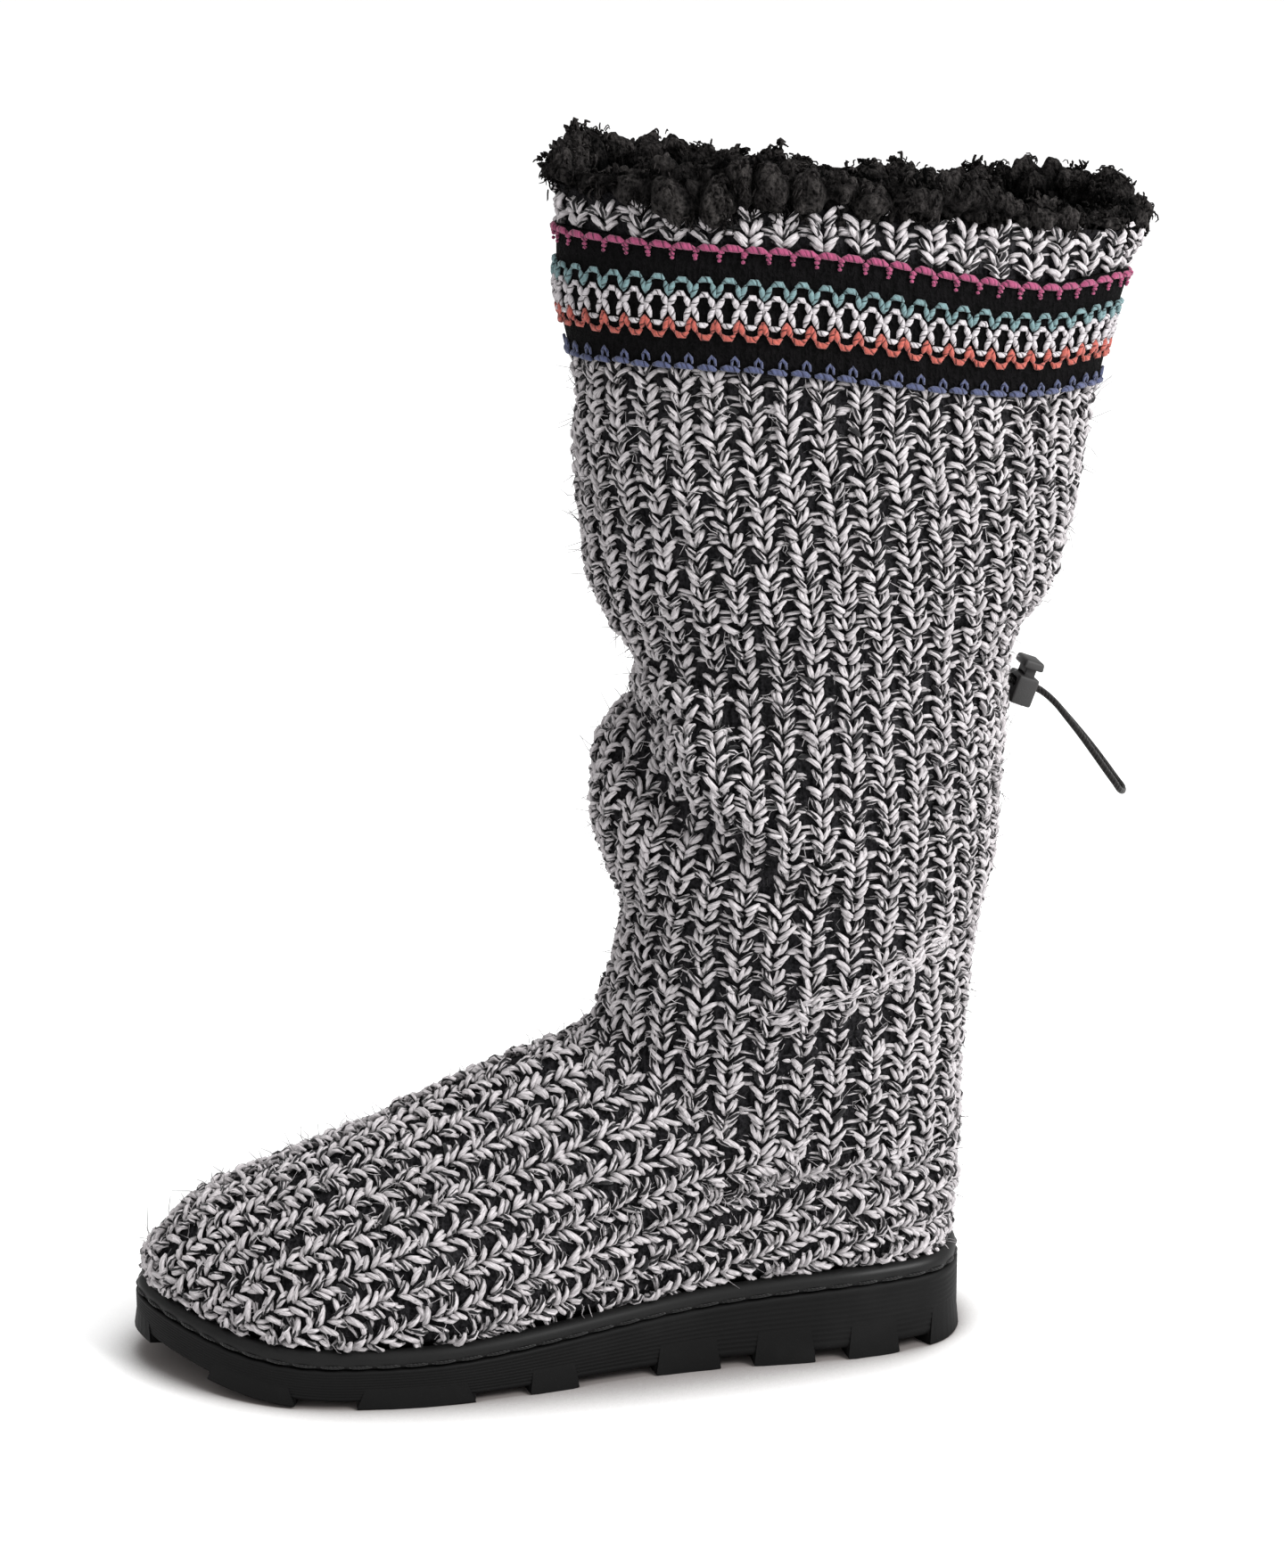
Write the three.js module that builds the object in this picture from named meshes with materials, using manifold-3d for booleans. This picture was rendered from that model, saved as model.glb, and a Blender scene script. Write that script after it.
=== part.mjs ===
// A knitted slipper boot for the left foot, in millimetres.
// It stands on its lugged sole: +X runs to the toe, +Y to the outer side of the foot, +Z up.
// The upper and the shaft are one lofted skin, worked out ring by ring from the sole to the collar
// and parted at the ankle seam. Every ring starts at the back of the heel, goes forward along the
// outer side to the toe, and comes back along the inner side.
import * as THREE from 'three';
import { mergeVertices } from 'three/addons/utils/BufferGeometryUtils.js';
import Module from 'manifold-3d';

const wasm = await Module();
wasm.setup();

// Driving dimensions
const SOLE_LENGTH = 261;
const BALL_WIDTH = 92;
const COLLAR_HEIGHT = 364;
const HEEL_THICKNESS = 23.5;
const BALL_THICKNESS = 12.3;
const TOE_SPRING = 9;
const KNIT_WALL = 3.5;
const GAP = 0.35;

// Sole details
const SPRING_START = 0.78 * SOLE_LENGTH;
const WEDGE_START = 0.12 * SOLE_LENGTH;
const WEDGE_END = 0.72 * SOLE_LENGTH;
const HEEL_TREAD = 3.4;
const BALL_TREAD = 2.3;
const SOLE_EDGE_ROUND = 1.1;
const LUG_PROUD = 0.8;
const LUG_REACH = 21;
const LUG_SIDE_SHARE = 0.55;
const LUG_CHAMFER = 1.2;
const LUG_STEPS = 4;
const TOE_LUG_FROM = 0.985;
const BAR_HALF_WIDTH = 13;
const BAR_HALF_LENGTH = 6.5;
const SKIN_OF_SOLE = 2;

// Welt and insole
const WELT_HEIGHT = 5.5;
const WELT_INNER_INSET = 4.9;
const INSOLE_INSET = 10;
const INSOLE_THICKNESS = 4;
const MIDDLE_INSET = 20;

// Stripe band and fleece cuff
const BAND_THICKNESS = 1.7;
const BAND_EDGE_STEP = 0.03;
const BAND_EDGE_CLEARANCE = 0.075;
const LOCK_COUNT = 30;
const LOCK_RADIUS = 6.6;
const LOCK_STRETCH = 1.3;
const LOCK_FLATNESS = 0.7;
const LOCK_VARIETY = 0.15;
const LOCK_WAVE = 2.4;
const LOCK_WANDER = 3;
const LOCK_INSET = 4.8;
const LOCK_LIFT = 7.2;

// Cord lock, measured from the middle of its cord hole, and drawcord
const LOCK_MIDDLE = new THREE.Vector3(-17.2, 0, 206.5);
const LOCK_TILT = THREE.MathUtils.degToRad(20);
const LOCK_HALF_DEPTH = 3.4;
const LOCK_HALF_WIDTH = 5.6;
const BARREL_TOP = 3;
const PLUNGER_TRAVEL = 2.2;
const HEAD_THICKNESS = 2.8;
const STEM_HALF_DEPTH = 1.7;
const STEM_HALF_WIDTH = 3.9;
const STEM_BAR = 1.2;
const BARREL_FLOOR = 1;
const LOCK_CORNER = 1.6;
const CUT_MARGIN = 1;
const CORD_DIAMETER = 2;
const CORD_SPACING = 3.1;
const CORD_LOOP_RADIUS = 4;
const CORD_SIDES = 8;
const CORD_STEPS = 52;
const HOLE_HALF_HEIGHT = CORD_DIAMETER / 2 + GAP;
const HOLE_HALF_WIDTH = CORD_SPACING / 2 + HOLE_HALF_HEIGHT;

const HALF_STEPS = 20;
const AROUND = 2 * HALF_STEPS;
const DENSE = 80;
const MERGE_DISTANCE = 1e-4;

// The outline of the sole: forward in shares of its length, outward in shares of the ball's width.
const SOLE_OUTLINE = [
  { place: 'heel back', forward: 0.003, outward: 0 },
  { place: 'heel corner, outer', forward: 0.035, outward: 0.262 },
  { place: 'heel side, outer', forward: 0.13, outward: 0.367 },
  { place: 'waist, outer', forward: 0.36, outward: 0.388 },
  { place: 'ball, outer', forward: 0.67, outward: 0.517 },
  { place: 'little toe', forward: 0.845, outward: 0.44 },
  { place: 'toe corner, outer', forward: 0.945, outward: 0.2 },
  { place: 'toe tip', forward: 1, outward: -0.1 },
  { place: 'big toe', forward: 0.95, outward: -0.35 },
  { place: 'ball, inner', forward: 0.73, outward: -0.48 },
  { place: 'arch, inner', forward: 0.42, outward: -0.33 },
  { place: 'heel side, inner', forward: 0.13, outward: -0.36 },
  { place: 'heel corner, inner', forward: 0.035, outward: -0.255 },
];
const TOE_TIP = SOLE_OUTLINE.findIndex((row) => row.place === 'toe tip');

// The rings of the upper and shaft. back and front are shares of the sole's length, half is half the
// width in shares of the ball's width, and backUp and frontUp are shares of the collar's height.
// bend says how the height runs from back to front, hug how much it follows the sole's top line,
// inset how far the ring lies inside the sole's outline, and egg how far it is an ellipse instead.
const FOOT_RINGS = [
  { at: 'feather edge', back: 0.0241, front: 0.9785, backUp: 0.001, frontUp: 0.001, bend: 1,
    hug: 1, inset: 5.6, half: 0.46, egg: 0 },
  { at: 'behind welt', back: 0.0234, front: 0.9793, backUp: 0.0154, frontUp: 0.0154, bend: 1,
    hug: 1, inset: 5.4, half: 0.46, egg: 0 },
  { at: 'over welt', back: 0.01, front: 0.9916, backUp: 0.0261, frontUp: 0.0261, bend: 1,
    hug: 1, inset: 2.6, half: 0.46, egg: 0 },
  { at: 'toe wall', back: 0.0054, front: 0.987, backUp: 0.044, frontUp: 0.0445, bend: 1,
    hug: 0.95, inset: 1.7, half: 0.46, egg: 0.04 },
  { at: 'toe round', back: 0.0031, front: 0.9693, backUp: 0.0673, frontUp: 0.0687, bend: 1,
    hug: 0.85, inset: 1.8, half: 0.46, egg: 0.1 },
  { at: 'toe top', back: 0.0008, front: 0.9272, backUp: 0.1044, frontUp: 0.1154, bend: 1.4,
    hug: 0.6, inset: 4.5, half: 0.457, egg: 0.3 },
  { at: 'vamp low', back: 0.0, front: 0.8506, backUp: 0.1319, frontUp: 0.1555, bend: 2,
    hug: 0.35, inset: 6, half: 0.432, egg: 0.6 },
  { at: 'vamp middle', back: -0.0015, front: 0.7452, backUp: 0.1511, frontUp: 0.1934, bend: 2.2,
    hug: 0.15, inset: 8, half: 0.41, egg: 0.85 },
  { at: 'vamp high', back: -0.0023, front: 0.6552, backUp: 0.1607, frontUp: 0.2275, bend: 2.5,
    hug: 0.05, inset: 8, half: 0.402, egg: 1 },
  { at: 'instep', back: -0.0023, front: 0.5632, backUp: 0.1676, frontUp: 0.2571, bend: 2.8,
    hug: 0, inset: 8, half: 0.4, egg: 1 },
  { at: 'ankle seam', back: -0.0019, front: 0.4839, backUp: 0.1717, frontUp: 0.2775, bend: 3,
    hug: 0, inset: 8, half: 0.4, egg: 1 },
];
const SHAFT_RINGS = [
  { at: 'ankle low', back: 0.0008, front: 0.4406, backUp: 0.2335, frontUp: 0.3159, bend: 1.8, half: 0.418 },
  { at: 'ankle', back: -0.0057, front: 0.4234, backUp: 0.3022, frontUp: 0.3571, bend: 1.2, half: 0.44 },
  { at: 'hollow', back: -0.0161, front: 0.4176, backUp: 0.3681, frontUp: 0.3929, bend: 1, half: 0.467 },
  { at: 'slouch low', back: -0.0307, front: 0.4406, backUp: 0.4176, frontUp: 0.4341, bend: 1, half: 0.5 },
  { at: 'slouch', back: -0.0375, front: 0.4571, backUp: 0.4725, frontUp: 0.4835, bend: 1, half: 0.522 },
  { at: 'slouch high', back: -0.0414, front: 0.4529, backUp: 0.522, frontUp: 0.5275, bend: 1, half: 0.511 },
  { at: 'under pinch', back: -0.0452, front: 0.4119, backUp: 0.5632, frontUp: 0.5687, bend: 1, half: 0.478 },
  { at: 'pinch', back: -0.0452, front: 0.4004, backUp: 0.5934, frontUp: 0.6044, bend: 1, half: 0.435 },
  { at: 'over pinch', back: -0.0575, front: 0.4272, backUp: 0.6209, frontUp: 0.6346, bend: 1, half: 0.467 },
  { at: 'flare low', back: -0.09, front: 0.4521, backUp: 0.6538, frontUp: 0.6676, bend: 1, half: 0.511 },
  { at: 'flare', back: -0.113, front: 0.4636, backUp: 0.7033, frontUp: 0.7198, bend: 1, half: 0.533 },
  { at: 'calf', back: -0.1284, front: 0.472, backUp: 0.7637, frontUp: 0.783, bend: 0.9, half: 0.53 },
  { at: 'under band', back: -0.136, front: 0.4682, backUp: 0.799, frontUp: 0.8324, bend: 0.75, half: 0.515 },
  { at: 'band low', back: -0.1418, front: 0.4743, backUp: 0.8242, frontUp: 0.8654, bend: 0.65, half: 0.503 },
  { at: 'band mid', back: -0.1563, front: 0.4877, backUp: 0.8709, frontUp: 0.9121, bend: 0.6, half: 0.486 },
  { at: 'band high', back: -0.1747, front: 0.4889, backUp: 0.9176, frontUp: 0.9615, bend: 0.55, half: 0.473 },
  { at: 'collar', back: -0.1839, front: 0.4943, backUp: 0.9533, frontUp: 1, bend: 0.55, half: 0.462 },
];
const LEG_SECTION = { hug: 0, inset: 0, egg: 1 };
const RINGS = [...FOOT_RINGS, ...SHAFT_RINGS.map((row) => ({ ...row, ...LEG_SECTION }))];
const ringIndex = (place) => RINGS.findIndex((row) => row.at === place);

// Soft folds of the slack shaft: turn is the share of the way round from the back of the heel, up a
// share of the collar's height, tilt in degrees from level, the rest in millimetres.
const FOLDS = [
  { at: 'trough under the front bulge', turn: 0.37, up: 0.455, tilt: 28, along: 50, across: 9, out: -6 },
  { at: 'front bulge', turn: 0.39, up: 0.505, tilt: 26, along: 45, across: 10, out: 3 },
  { at: 'ridge behind the ankle', turn: 0.15, up: 0.352, tilt: -33, along: 42, across: 10, out: 3.5 },
  { at: 'trough behind the ankle', turn: 0.16, up: 0.29, tilt: -30, along: 36, across: 9, out: -2 },
  { at: 'inner trough', turn: 0.64, up: 0.45, tilt: -26, along: 48, across: 10, out: -5 },
  { at: 'inner ridge', turn: 0.84, up: 0.36, tilt: 30, along: 42, across: 11, out: 3 },
];

// Lugs along both edges of the tread, as shares of the sole's length, and bars down its middle.
const EDGE_LUGS = [
  { from: 0.012, to: 0.06 },
  { from: 0.1, to: 0.165 },
  { from: 0.205, to: 0.28 },
  { from: 0.32, to: 0.4 },
  { from: 0.495, to: 0.555 },
  { from: 0.62, to: 0.76 },
  { from: 0.83, to: 0.925 },
];
const MIDDLE_BARS = [0.13, 0.25, 0.37, 0.5, 0.62, 0.73, 0.84];

// The drawcord's outward run, from the back of the shaft through the cord lock to its hanging loop.
const CORD_ROUTE = [
  { x: -12.5, z: 208.2, spread: 1 },
  { x: -17.2, z: 206.5, spread: 1 },
  { x: -22.3, z: 204.4, spread: 1.05 },
  { x: -27, z: 200.6, spread: 1.3 },
  { x: -31.8, z: 195, spread: 1.65 },
  { x: -36.5, z: 189.2, spread: 2 },
  { x: -41, z: 183.3, spread: 2.3 },
  { x: -45.3, z: 177.4, spread: 2.5 },
  { x: -48.2, z: 173.4, spread: 2.58 },
];

const MATERIALS = {
  rubber: new THREE.MeshStandardMaterial({ color: 0x161616, roughness: 0.75, metalness: 0 }),
  piping: new THREE.MeshStandardMaterial({ color: 0x1b1b1c, roughness: 0.5, metalness: 0 }),
  knit: new THREE.MeshStandardMaterial({ color: 0x8f8c90, roughness: 0.95, metalness: 0 }),
  stripes: new THREE.MeshStandardMaterial({ color: 0x141314, roughness: 0.9, metalness: 0 }),
  fleece: new THREE.MeshStandardMaterial({ color: 0x1d1c1c, roughness: 1, metalness: 0 }),
  plastic: new THREE.MeshStandardMaterial({ color: 0x2b2b2c, roughness: 0.55, metalness: 0 }),
  elastic: new THREE.MeshStandardMaterial({ color: 0x171717, roughness: 0.4, metalness: 0 }),
};

// Heights along the sole
const { clamp, lerp, smoothstep } = THREE.MathUtils;

function floorLine(x) {
  const share = clamp((x - SPRING_START) / (SOLE_LENGTH - SPRING_START), 0, 1);
  return TOE_SPRING * share * share;
}

function soleTop(x) {
  const wedge = smoothstep(x, WEDGE_START, WEDGE_END);
  return floorLine(x) + lerp(HEEL_THICKNESS, BALL_THICKNESS, wedge);
}

function treadBase(x) {
  const wedge = smoothstep(x, WEDGE_START, WEDGE_END);
  return floorLine(x) + lerp(HEEL_TREAD, BALL_TREAD, wedge);
}

// Closed loops
const outlineCurve = new THREE.CatmullRomCurve3(
  SOLE_OUTLINE.map((row) => new THREE.Vector3(row.forward * SOLE_LENGTH, row.outward * BALL_WIDTH, 0)),
  true,
  'centripetal',
);

// Points spaced evenly along an open run of points.
function evenly(points, count) {
  const run = new THREE.CurvePath();
  points.slice(1).forEach((end, i) => run.add(new THREE.LineCurve3(points[i], end)));
  return Array.from({ length: count + 1 }, (_, i) => run.getPointAt(i / count));
}

// A loop from its outer half, back to front, and its inner half, front to back.
function joinHalves(outer, inner) {
  return [...outer.slice(0, -1), ...inner.slice(0, -1)];
}

const dense = (fromT, toT) =>
  Array.from({ length: DENSE + 1 }, (_, i) => outlineCurve.getPoint(lerp(fromT, toT, i / DENSE)));
const tipT = TOE_TIP / SOLE_OUTLINE.length;
const OUTLINE = joinHalves(evenly(dense(0, tipT), HALF_STEPS), evenly(dense(tipT, 1), HALF_STEPS));

// Level outward directions of a loop that runs clockwise seen from above.
function outwardOf(loop) {
  return loop.map((_, i) => {
    const before = loop[(i + loop.length - 1) % loop.length];
    const after = loop[(i + 1) % loop.length];
    return new THREE.Vector3(before.y - after.y, after.x - before.x, 0).normalize();
  });
}
const OUTLINE_OUT = outwardOf(OUTLINE);

function insetOutline(inset) {
  return OUTLINE.map((point, i) => point.clone().addScaledVector(OUTLINE_OUT[i], -inset));
}

function ellipseLoop(back, front, half) {
  const arc = (side) =>
    Array.from({ length: DENSE + 1 }, (_, i) => {
      const angle = (Math.PI * i) / DENSE;
      const x = lerp(back, front, (1 - Math.cos(angle)) / 2);
      return new THREE.Vector3(x, side * half * Math.sin(angle), 0);
    });
  return joinHalves(evenly(arc(1), HALF_STEPS), evenly(arc(-1).reverse(), HALF_STEPS));
}

function foldOut(turn, height, girth) {
  return FOLDS.reduce((sum, fold) => {
    const tilt = THREE.MathUtils.degToRad(fold.tilt);
    const level = (turn - fold.turn) * girth;
    const rise = height - fold.up * COLLAR_HEIGHT;
    const along = (level * Math.cos(tilt) + rise * Math.sin(tilt)) / fold.along;
    const across = (rise * Math.cos(tilt) - level * Math.sin(tilt)) / fold.across;
    return sum + fold.out * Math.exp(-along * along - across * across);
  }, 0);
}

// Heights ease from back to front: late when bend is over 1, early when it is under 1.
function ease(share, bend) {
  return bend >= 1 ? share ** bend : 1 - (1 - share) ** (1 / bend);
}

function ringLoop(row) {
  const back = row.back * SOLE_LENGTH;
  const front = row.front * SOLE_LENGTH;
  const half = row.half * BALL_WIDTH;
  const egg = ellipseLoop(back, front, half);
  const stretch = (front - back) / (SOLE_LENGTH - 2 * row.inset);
  const loop = insetOutline(row.inset).map((point, i) => {
    point.x = back + (point.x - row.inset) * stretch;
    return point.lerp(egg[i], row.egg);
  });
  const out = outwardOf(loop);
  const girth = Math.PI * (half + (front - back) / 2);
  return loop.map((point, i) => {
    const share = clamp((point.x - back) / (front - back), 0, 1);
    const eased = lerp(row.backUp, row.frontUp, ease(share, row.bend)) * COLLAR_HEIGHT;
    point.z = eased + row.hug * soleTop(point.x);
    return point.addScaledVector(out[i], foldOut(i / AROUND, point.z, girth));
  });
}

// A ring between two rows of the table.
function ringBetween(position) {
  const low = Math.min(Math.floor(position), RINGS.length - 2);
  const share = position - low;
  const row = {};
  for (const key of Object.keys(RINGS[low])) {
    row[key] = key === 'at' ? RINGS[low].at : lerp(RINGS[low][key], RINGS[low + 1][key], share);
  }
  return ringLoop(row);
}

// Solids from loops
function solidGeometry(points, triangles) {
  const geometry = new THREE.BufferGeometry().setFromPoints(points);
  geometry.setIndex(triangles);
  const a = new THREE.Vector3();
  const b = new THREE.Vector3();
  let volume = 0;
  for (let i = 0; i < triangles.length; i += 3) {
    a.copy(points[triangles[i]]);
    b.copy(points[triangles[i + 1]]);
    volume += a.dot(b.cross(points[triangles[i + 2]]));
  }
  if (volume < 0) geometry.index.array.reverse();
  return geometry;
}

// A skin through loops of equal length. A closed skin joins its last loop to its first, as a tube
// bent round into a ring does; an open one is capped at both ends.
function loft(loops, closed) {
  const size = loops[0].length;
  const points = loops.flat();
  const triangles = [];
  const spans = closed ? loops.length : loops.length - 1;
  for (let row = 0; row < spans; row += 1) {
    const next = (row + 1) % loops.length;
    for (let i = 0; i < size; i += 1) {
      const j = (i + 1) % size;
      const corners = [row * size + i, row * size + j, next * size + j, next * size + i];
      triangles.push(corners[0], corners[1], corners[2], corners[0], corners[2], corners[3]);
    }
  }
  if (!closed) {
    const last = (loops.length - 1) * size;
    const middle = (loop) =>
      loop.reduce((sum, p) => sum.add(p), new THREE.Vector3()).divideScalar(loop.length);
    points.push(middle(loops[0]), middle(loops.at(-1)));
    for (let i = 0; i < size; i += 1) {
      const j = (i + 1) % size;
      triangles.push(points.length - 2, j, i, points.length - 1, last + i, last + j);
    }
  }
  return solidGeometry(points, triangles);
}

// A ring of constant section: profile(i) gives the section's points at place i of the loop.
function ringLoft(profile) {
  const sections = Array.from({ length: AROUND }, (_, i) => profile(i));
  const loops = sections[0].map((_, k) => sections.map((section) => section[k]));
  return loft(loops, true);
}

// Joins and cuts
function toSolid(geometry) {
  const bare = geometry.clone();
  bare.deleteAttribute('normal');
  bare.deleteAttribute('uv');
  const merged = mergeVertices(bare, MERGE_DISTANCE);
  return new wasm.Manifold(
    new wasm.Mesh({
      numProp: 3,
      vertProperties: new Float32Array(merged.attributes.position.array),
      triVerts: new Uint32Array(merged.index.array),
    }),
  );
}

function fromSolid(solid) {
  const mesh = solid.getMesh();
  const geometry = new THREE.BufferGeometry();
  geometry.setAttribute('position', new THREE.BufferAttribute(new Float32Array(mesh.vertProperties), 3));
  geometry.setIndex(new THREE.BufferAttribute(new Uint32Array(mesh.triVerts), 1));
  return geometry;
}

// The sole
function soleSlab() {
  const level = (inset, heightAt) =>
    insetOutline(inset).map((point) => point.setZ(heightAt(point.x)));
  return loft(
    [
      level(MIDDLE_INSET, treadBase),
      level(SOLE_EDGE_ROUND, treadBase),
      level(0, (x) => treadBase(x) + SOLE_EDGE_ROUND),
      level(0, (x) => soleTop(x) - SOLE_EDGE_ROUND),
      level(SOLE_EDGE_ROUND, soleTop),
      level(INSOLE_INSET, soleTop),
      level(MIDDLE_INSET, soleTop),
    ],
    false,
  );
}

// Where the outline passes a forward place on its outer side (+1) or inner side (-1).
function outlinePlace(forward, side) {
  const first = side > 0 ? 0 : tipT;
  const places = dense(first, first === 0 ? tipT : 1);
  const index = places.findIndex((p, i) => i > 0 && (p.x - forward) * (places[i - 1].x - forward) <= 0);
  return first + ((index - 0.5) / DENSE) * (first === 0 ? tipT : 1 - tipT);
}

// A lug: a block along the sole's edge, standing a little proud of the side wall.
function edgeLug(fromT, toT) {
  const sections = Array.from({ length: LUG_STEPS + 1 }, (_, step) => {
    const t = lerp(fromT, toT, step / LUG_STEPS);
    const edge = outlineCurve.getPoint((t + 1) % 1);
    const run = outlineCurve.getTangent((t + 1) % 1);
    const out = new THREE.Vector3(-run.y, run.x, 0);
    const at = (outset, z) => edge.clone().addScaledVector(out, outset).setZ(z);
    const low = floorLine(edge.x);
    const inner = edge.clone().addScaledVector(out, -LUG_REACH);
    const shoulder = lerp(low, soleTop(edge.x), LUG_SIDE_SHARE);
    return [
      inner.clone().setZ(floorLine(inner.x)),
      at(0, low),
      at(LUG_PROUD, low + LUG_CHAMFER),
      at(LUG_PROUD, shoulder - LUG_CHAMFER),
      at(-LUG_CHAMFER, shoulder),
      inner.clone().setZ(treadBase(inner.x) + SKIN_OF_SOLE),
    ];
  });
  return loft(sections, false);
}

function middleBar(forward) {
  const x = forward * SOLE_LENGTH;
  const low = floorLine(x);
  const height = treadBase(x) + SKIN_OF_SOLE - low;
  const bar = new THREE.BoxGeometry(2 * BAR_HALF_LENGTH, 2 * BAR_HALF_WIDTH, height);
  return bar.translate(x, 0, low + height / 2);
}

function outsole() {
  const lugs = EDGE_LUGS.flatMap((lug) =>
    [1, -1].map((side) =>
      edgeLug(outlinePlace(lug.from * SOLE_LENGTH, side), outlinePlace(lug.to * SOLE_LENGTH, side)),
    ),
  );
  const toeLug = edgeLug(
    outlinePlace(TOE_LUG_FROM * SOLE_LENGTH, 1),
    outlinePlace(TOE_LUG_FROM * SOLE_LENGTH, -1),
  );
  const blocks = [...lugs, toeLug, ...MIDDLE_BARS.map(middleBar)];
  return fromSolid(blocks.reduce((solid, block) => solid.add(toSolid(block)), toSolid(soleSlab())));
}

// The welt: a quarter-round piping on the sole's edge, hiding the foot of the upper.
const WELT_PROFILE = [
  { inset: 1, up: GAP },
  { inset: 0.6, up: 0.36 * WELT_HEIGHT },
  { inset: 1.6, up: 0.78 * WELT_HEIGHT },
  { inset: 3.3, up: WELT_HEIGHT },
  { inset: WELT_INNER_INSET, up: WELT_HEIGHT },
  { inset: WELT_INNER_INSET, up: GAP },
];

function welt() {
  return ringLoft((i) =>
    WELT_PROFILE.map(({ inset, up }) => {
      const point = OUTLINE[i].clone().addScaledVector(OUTLINE_OUT[i], -inset);
      return point.setZ(soleTop(point.x) + up);
    }),
  );
}

function insole() {
  const level = (inset, up) =>
    insetOutline(inset).map((point) => point.setZ(soleTop(point.x) + up));
  const top = GAP + INSOLE_THICKNESS;
  return loft(
    [level(MIDDLE_INSET, GAP), level(INSOLE_INSET, GAP), level(INSOLE_INSET, top), level(MIDDLE_INSET, top)],
    false,
  );
}

// The skin of upper and shaft
const SKIN = RINGS.map(ringLoop);

// Outward normals of the skin at one ring, from its neighbours up, down and around.
function skinNormals(below, ring, above) {
  return ring.map((_, i) => {
    const around = ring[(i + 1) % AROUND].clone().sub(ring[(i + AROUND - 1) % AROUND]);
    const up = above[i].clone().sub(below[i]);
    return up.cross(around).normalize();
  });
}
const SKIN_OUT = SKIN.map((ring, k) =>
  k === SKIN.length - 1 ? outwardOf(ring) : skinNormals(SKIN[Math.max(k - 1, 0)], ring, SKIN[k + 1]),
);

const offsetRing = (k, out) => SKIN[k].map((p, i) => p.clone().addScaledVector(SKIN_OUT[k][i], out));

// A ring of the skin at a fraction between two rows, offset along the blended normals.
function offsetBetween(position, out) {
  const low = Math.min(Math.floor(position), RINGS.length - 2);
  const share = position - low;
  return ringBetween(position).map((point, i) => {
    const normal = SKIN_OUT[low][i].clone().lerp(SKIN_OUT[low + 1][i], share).normalize();
    return point.addScaledVector(normal, out);
  });
}

function shell(outer, inner) {
  return loft([...outer, ...inner.reverse()], true);
}

const SEAM = ringIndex('ankle seam');
const BAND_LOW = ringIndex('band low');
const BAND_HIGH = ringIndex('band high');

function upper() {
  const rows = RINGS.slice(0, SEAM + 1).map((_, k) => k);
  return shell(rows.map((k) => offsetRing(k, 0)), rows.map((k) => offsetRing(k, -KNIT_WALL)));
}

// The shaft starts a hair above the seam, and its wall steps in where the stripe band lies.
function shaft() {
  const rows = RINGS.slice(SEAM + 1).map((_, k) => SEAM + 1 + k);
  const lift = (ring) => ring.map((point) => point.setZ(point.z + GAP));
  const plain = (k) => offsetRing(k, 0);
  const outer = [lift(offsetRing(SEAM, 0)), ...rows.filter((k) => k <= BAND_LOW).map(plain)];
  const stepped = [BAND_LOW + BAND_EDGE_STEP, BAND_LOW + 1, BAND_HIGH - BAND_EDGE_STEP];
  outer.push(...stepped.map((position) => offsetBetween(position, -BAND_THICKNESS)));
  outer.push(...rows.filter((k) => k >= BAND_HIGH).map(plain));
  const inner = [lift(offsetRing(SEAM, -KNIT_WALL)), ...rows.map((k) => offsetRing(k, -KNIT_WALL))];
  return shell(outer, inner);
}

// The stripe band lies in the shaft's step and stands a hair proud of the knit.
function stripeBand() {
  const places = [BAND_LOW + BAND_EDGE_CLEARANCE, BAND_LOW + 1, BAND_HIGH - BAND_EDGE_CLEARANCE];
  const outer = places.map((position) => offsetBetween(position, GAP));
  const inner = places.map((position) => offsetBetween(position, GAP - BAND_THICKNESS));
  return shell(outer, inner);
}

// The fleece cuff: a fat roll on the collar's edge, with locks of fleece fused on. It stands taller
// at the back of the leg and sags on the inner side.
const CUFF_PROFILE = [
  { out: 1.6, up: GAP },
  { out: 3, up: 4.5 },
  { out: 0.5, up: 8.5 },
  { out: -5.5, up: 10 },
  { out: -10.5, up: 8 },
  { out: -12, up: GAP },
];
const CUFF_BACK_RISE = 0.4;
const CUFF_INNER_SAG = 0.35;
const RIM = SKIN.at(-1);
const RIM_OUT = outwardOf(RIM);

function cuffTallness(turn) {
  const angle = 2 * Math.PI * turn;
  const backness = ((1 + Math.cos(angle)) / 2) ** 3;
  const innerness = Math.max(0, -Math.sin(angle));
  return 1 + CUFF_BACK_RISE * backness - CUFF_INNER_SAG * innerness;
}

// One lock: a squat faceted tuft, turned and set by a wave so that no two neighbours match.
function fleeceLock(n, rim) {
  const turn = n / LOCK_COUNT;
  const wave = Math.sin(n * LOCK_WAVE);
  const lock = new THREE.IcosahedronGeometry(LOCK_RADIUS * (1 + LOCK_VARIETY * wave), 0);
  lock.scale(LOCK_STRETCH, 1, LOCK_FLATNESS);
  lock.rotateZ(n * LOCK_WAVE);
  const place = rim.getPointAt(turn);
  const run = rim.getTangentAt(turn);
  const out = new THREE.Vector3(-run.y, run.x, 0).normalize();
  place.addScaledVector(out, LOCK_WANDER * wave - LOCK_INSET);
  return lock.translate(place.x, place.y, place.z + LOCK_LIFT * cuffTallness(turn));
}

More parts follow.
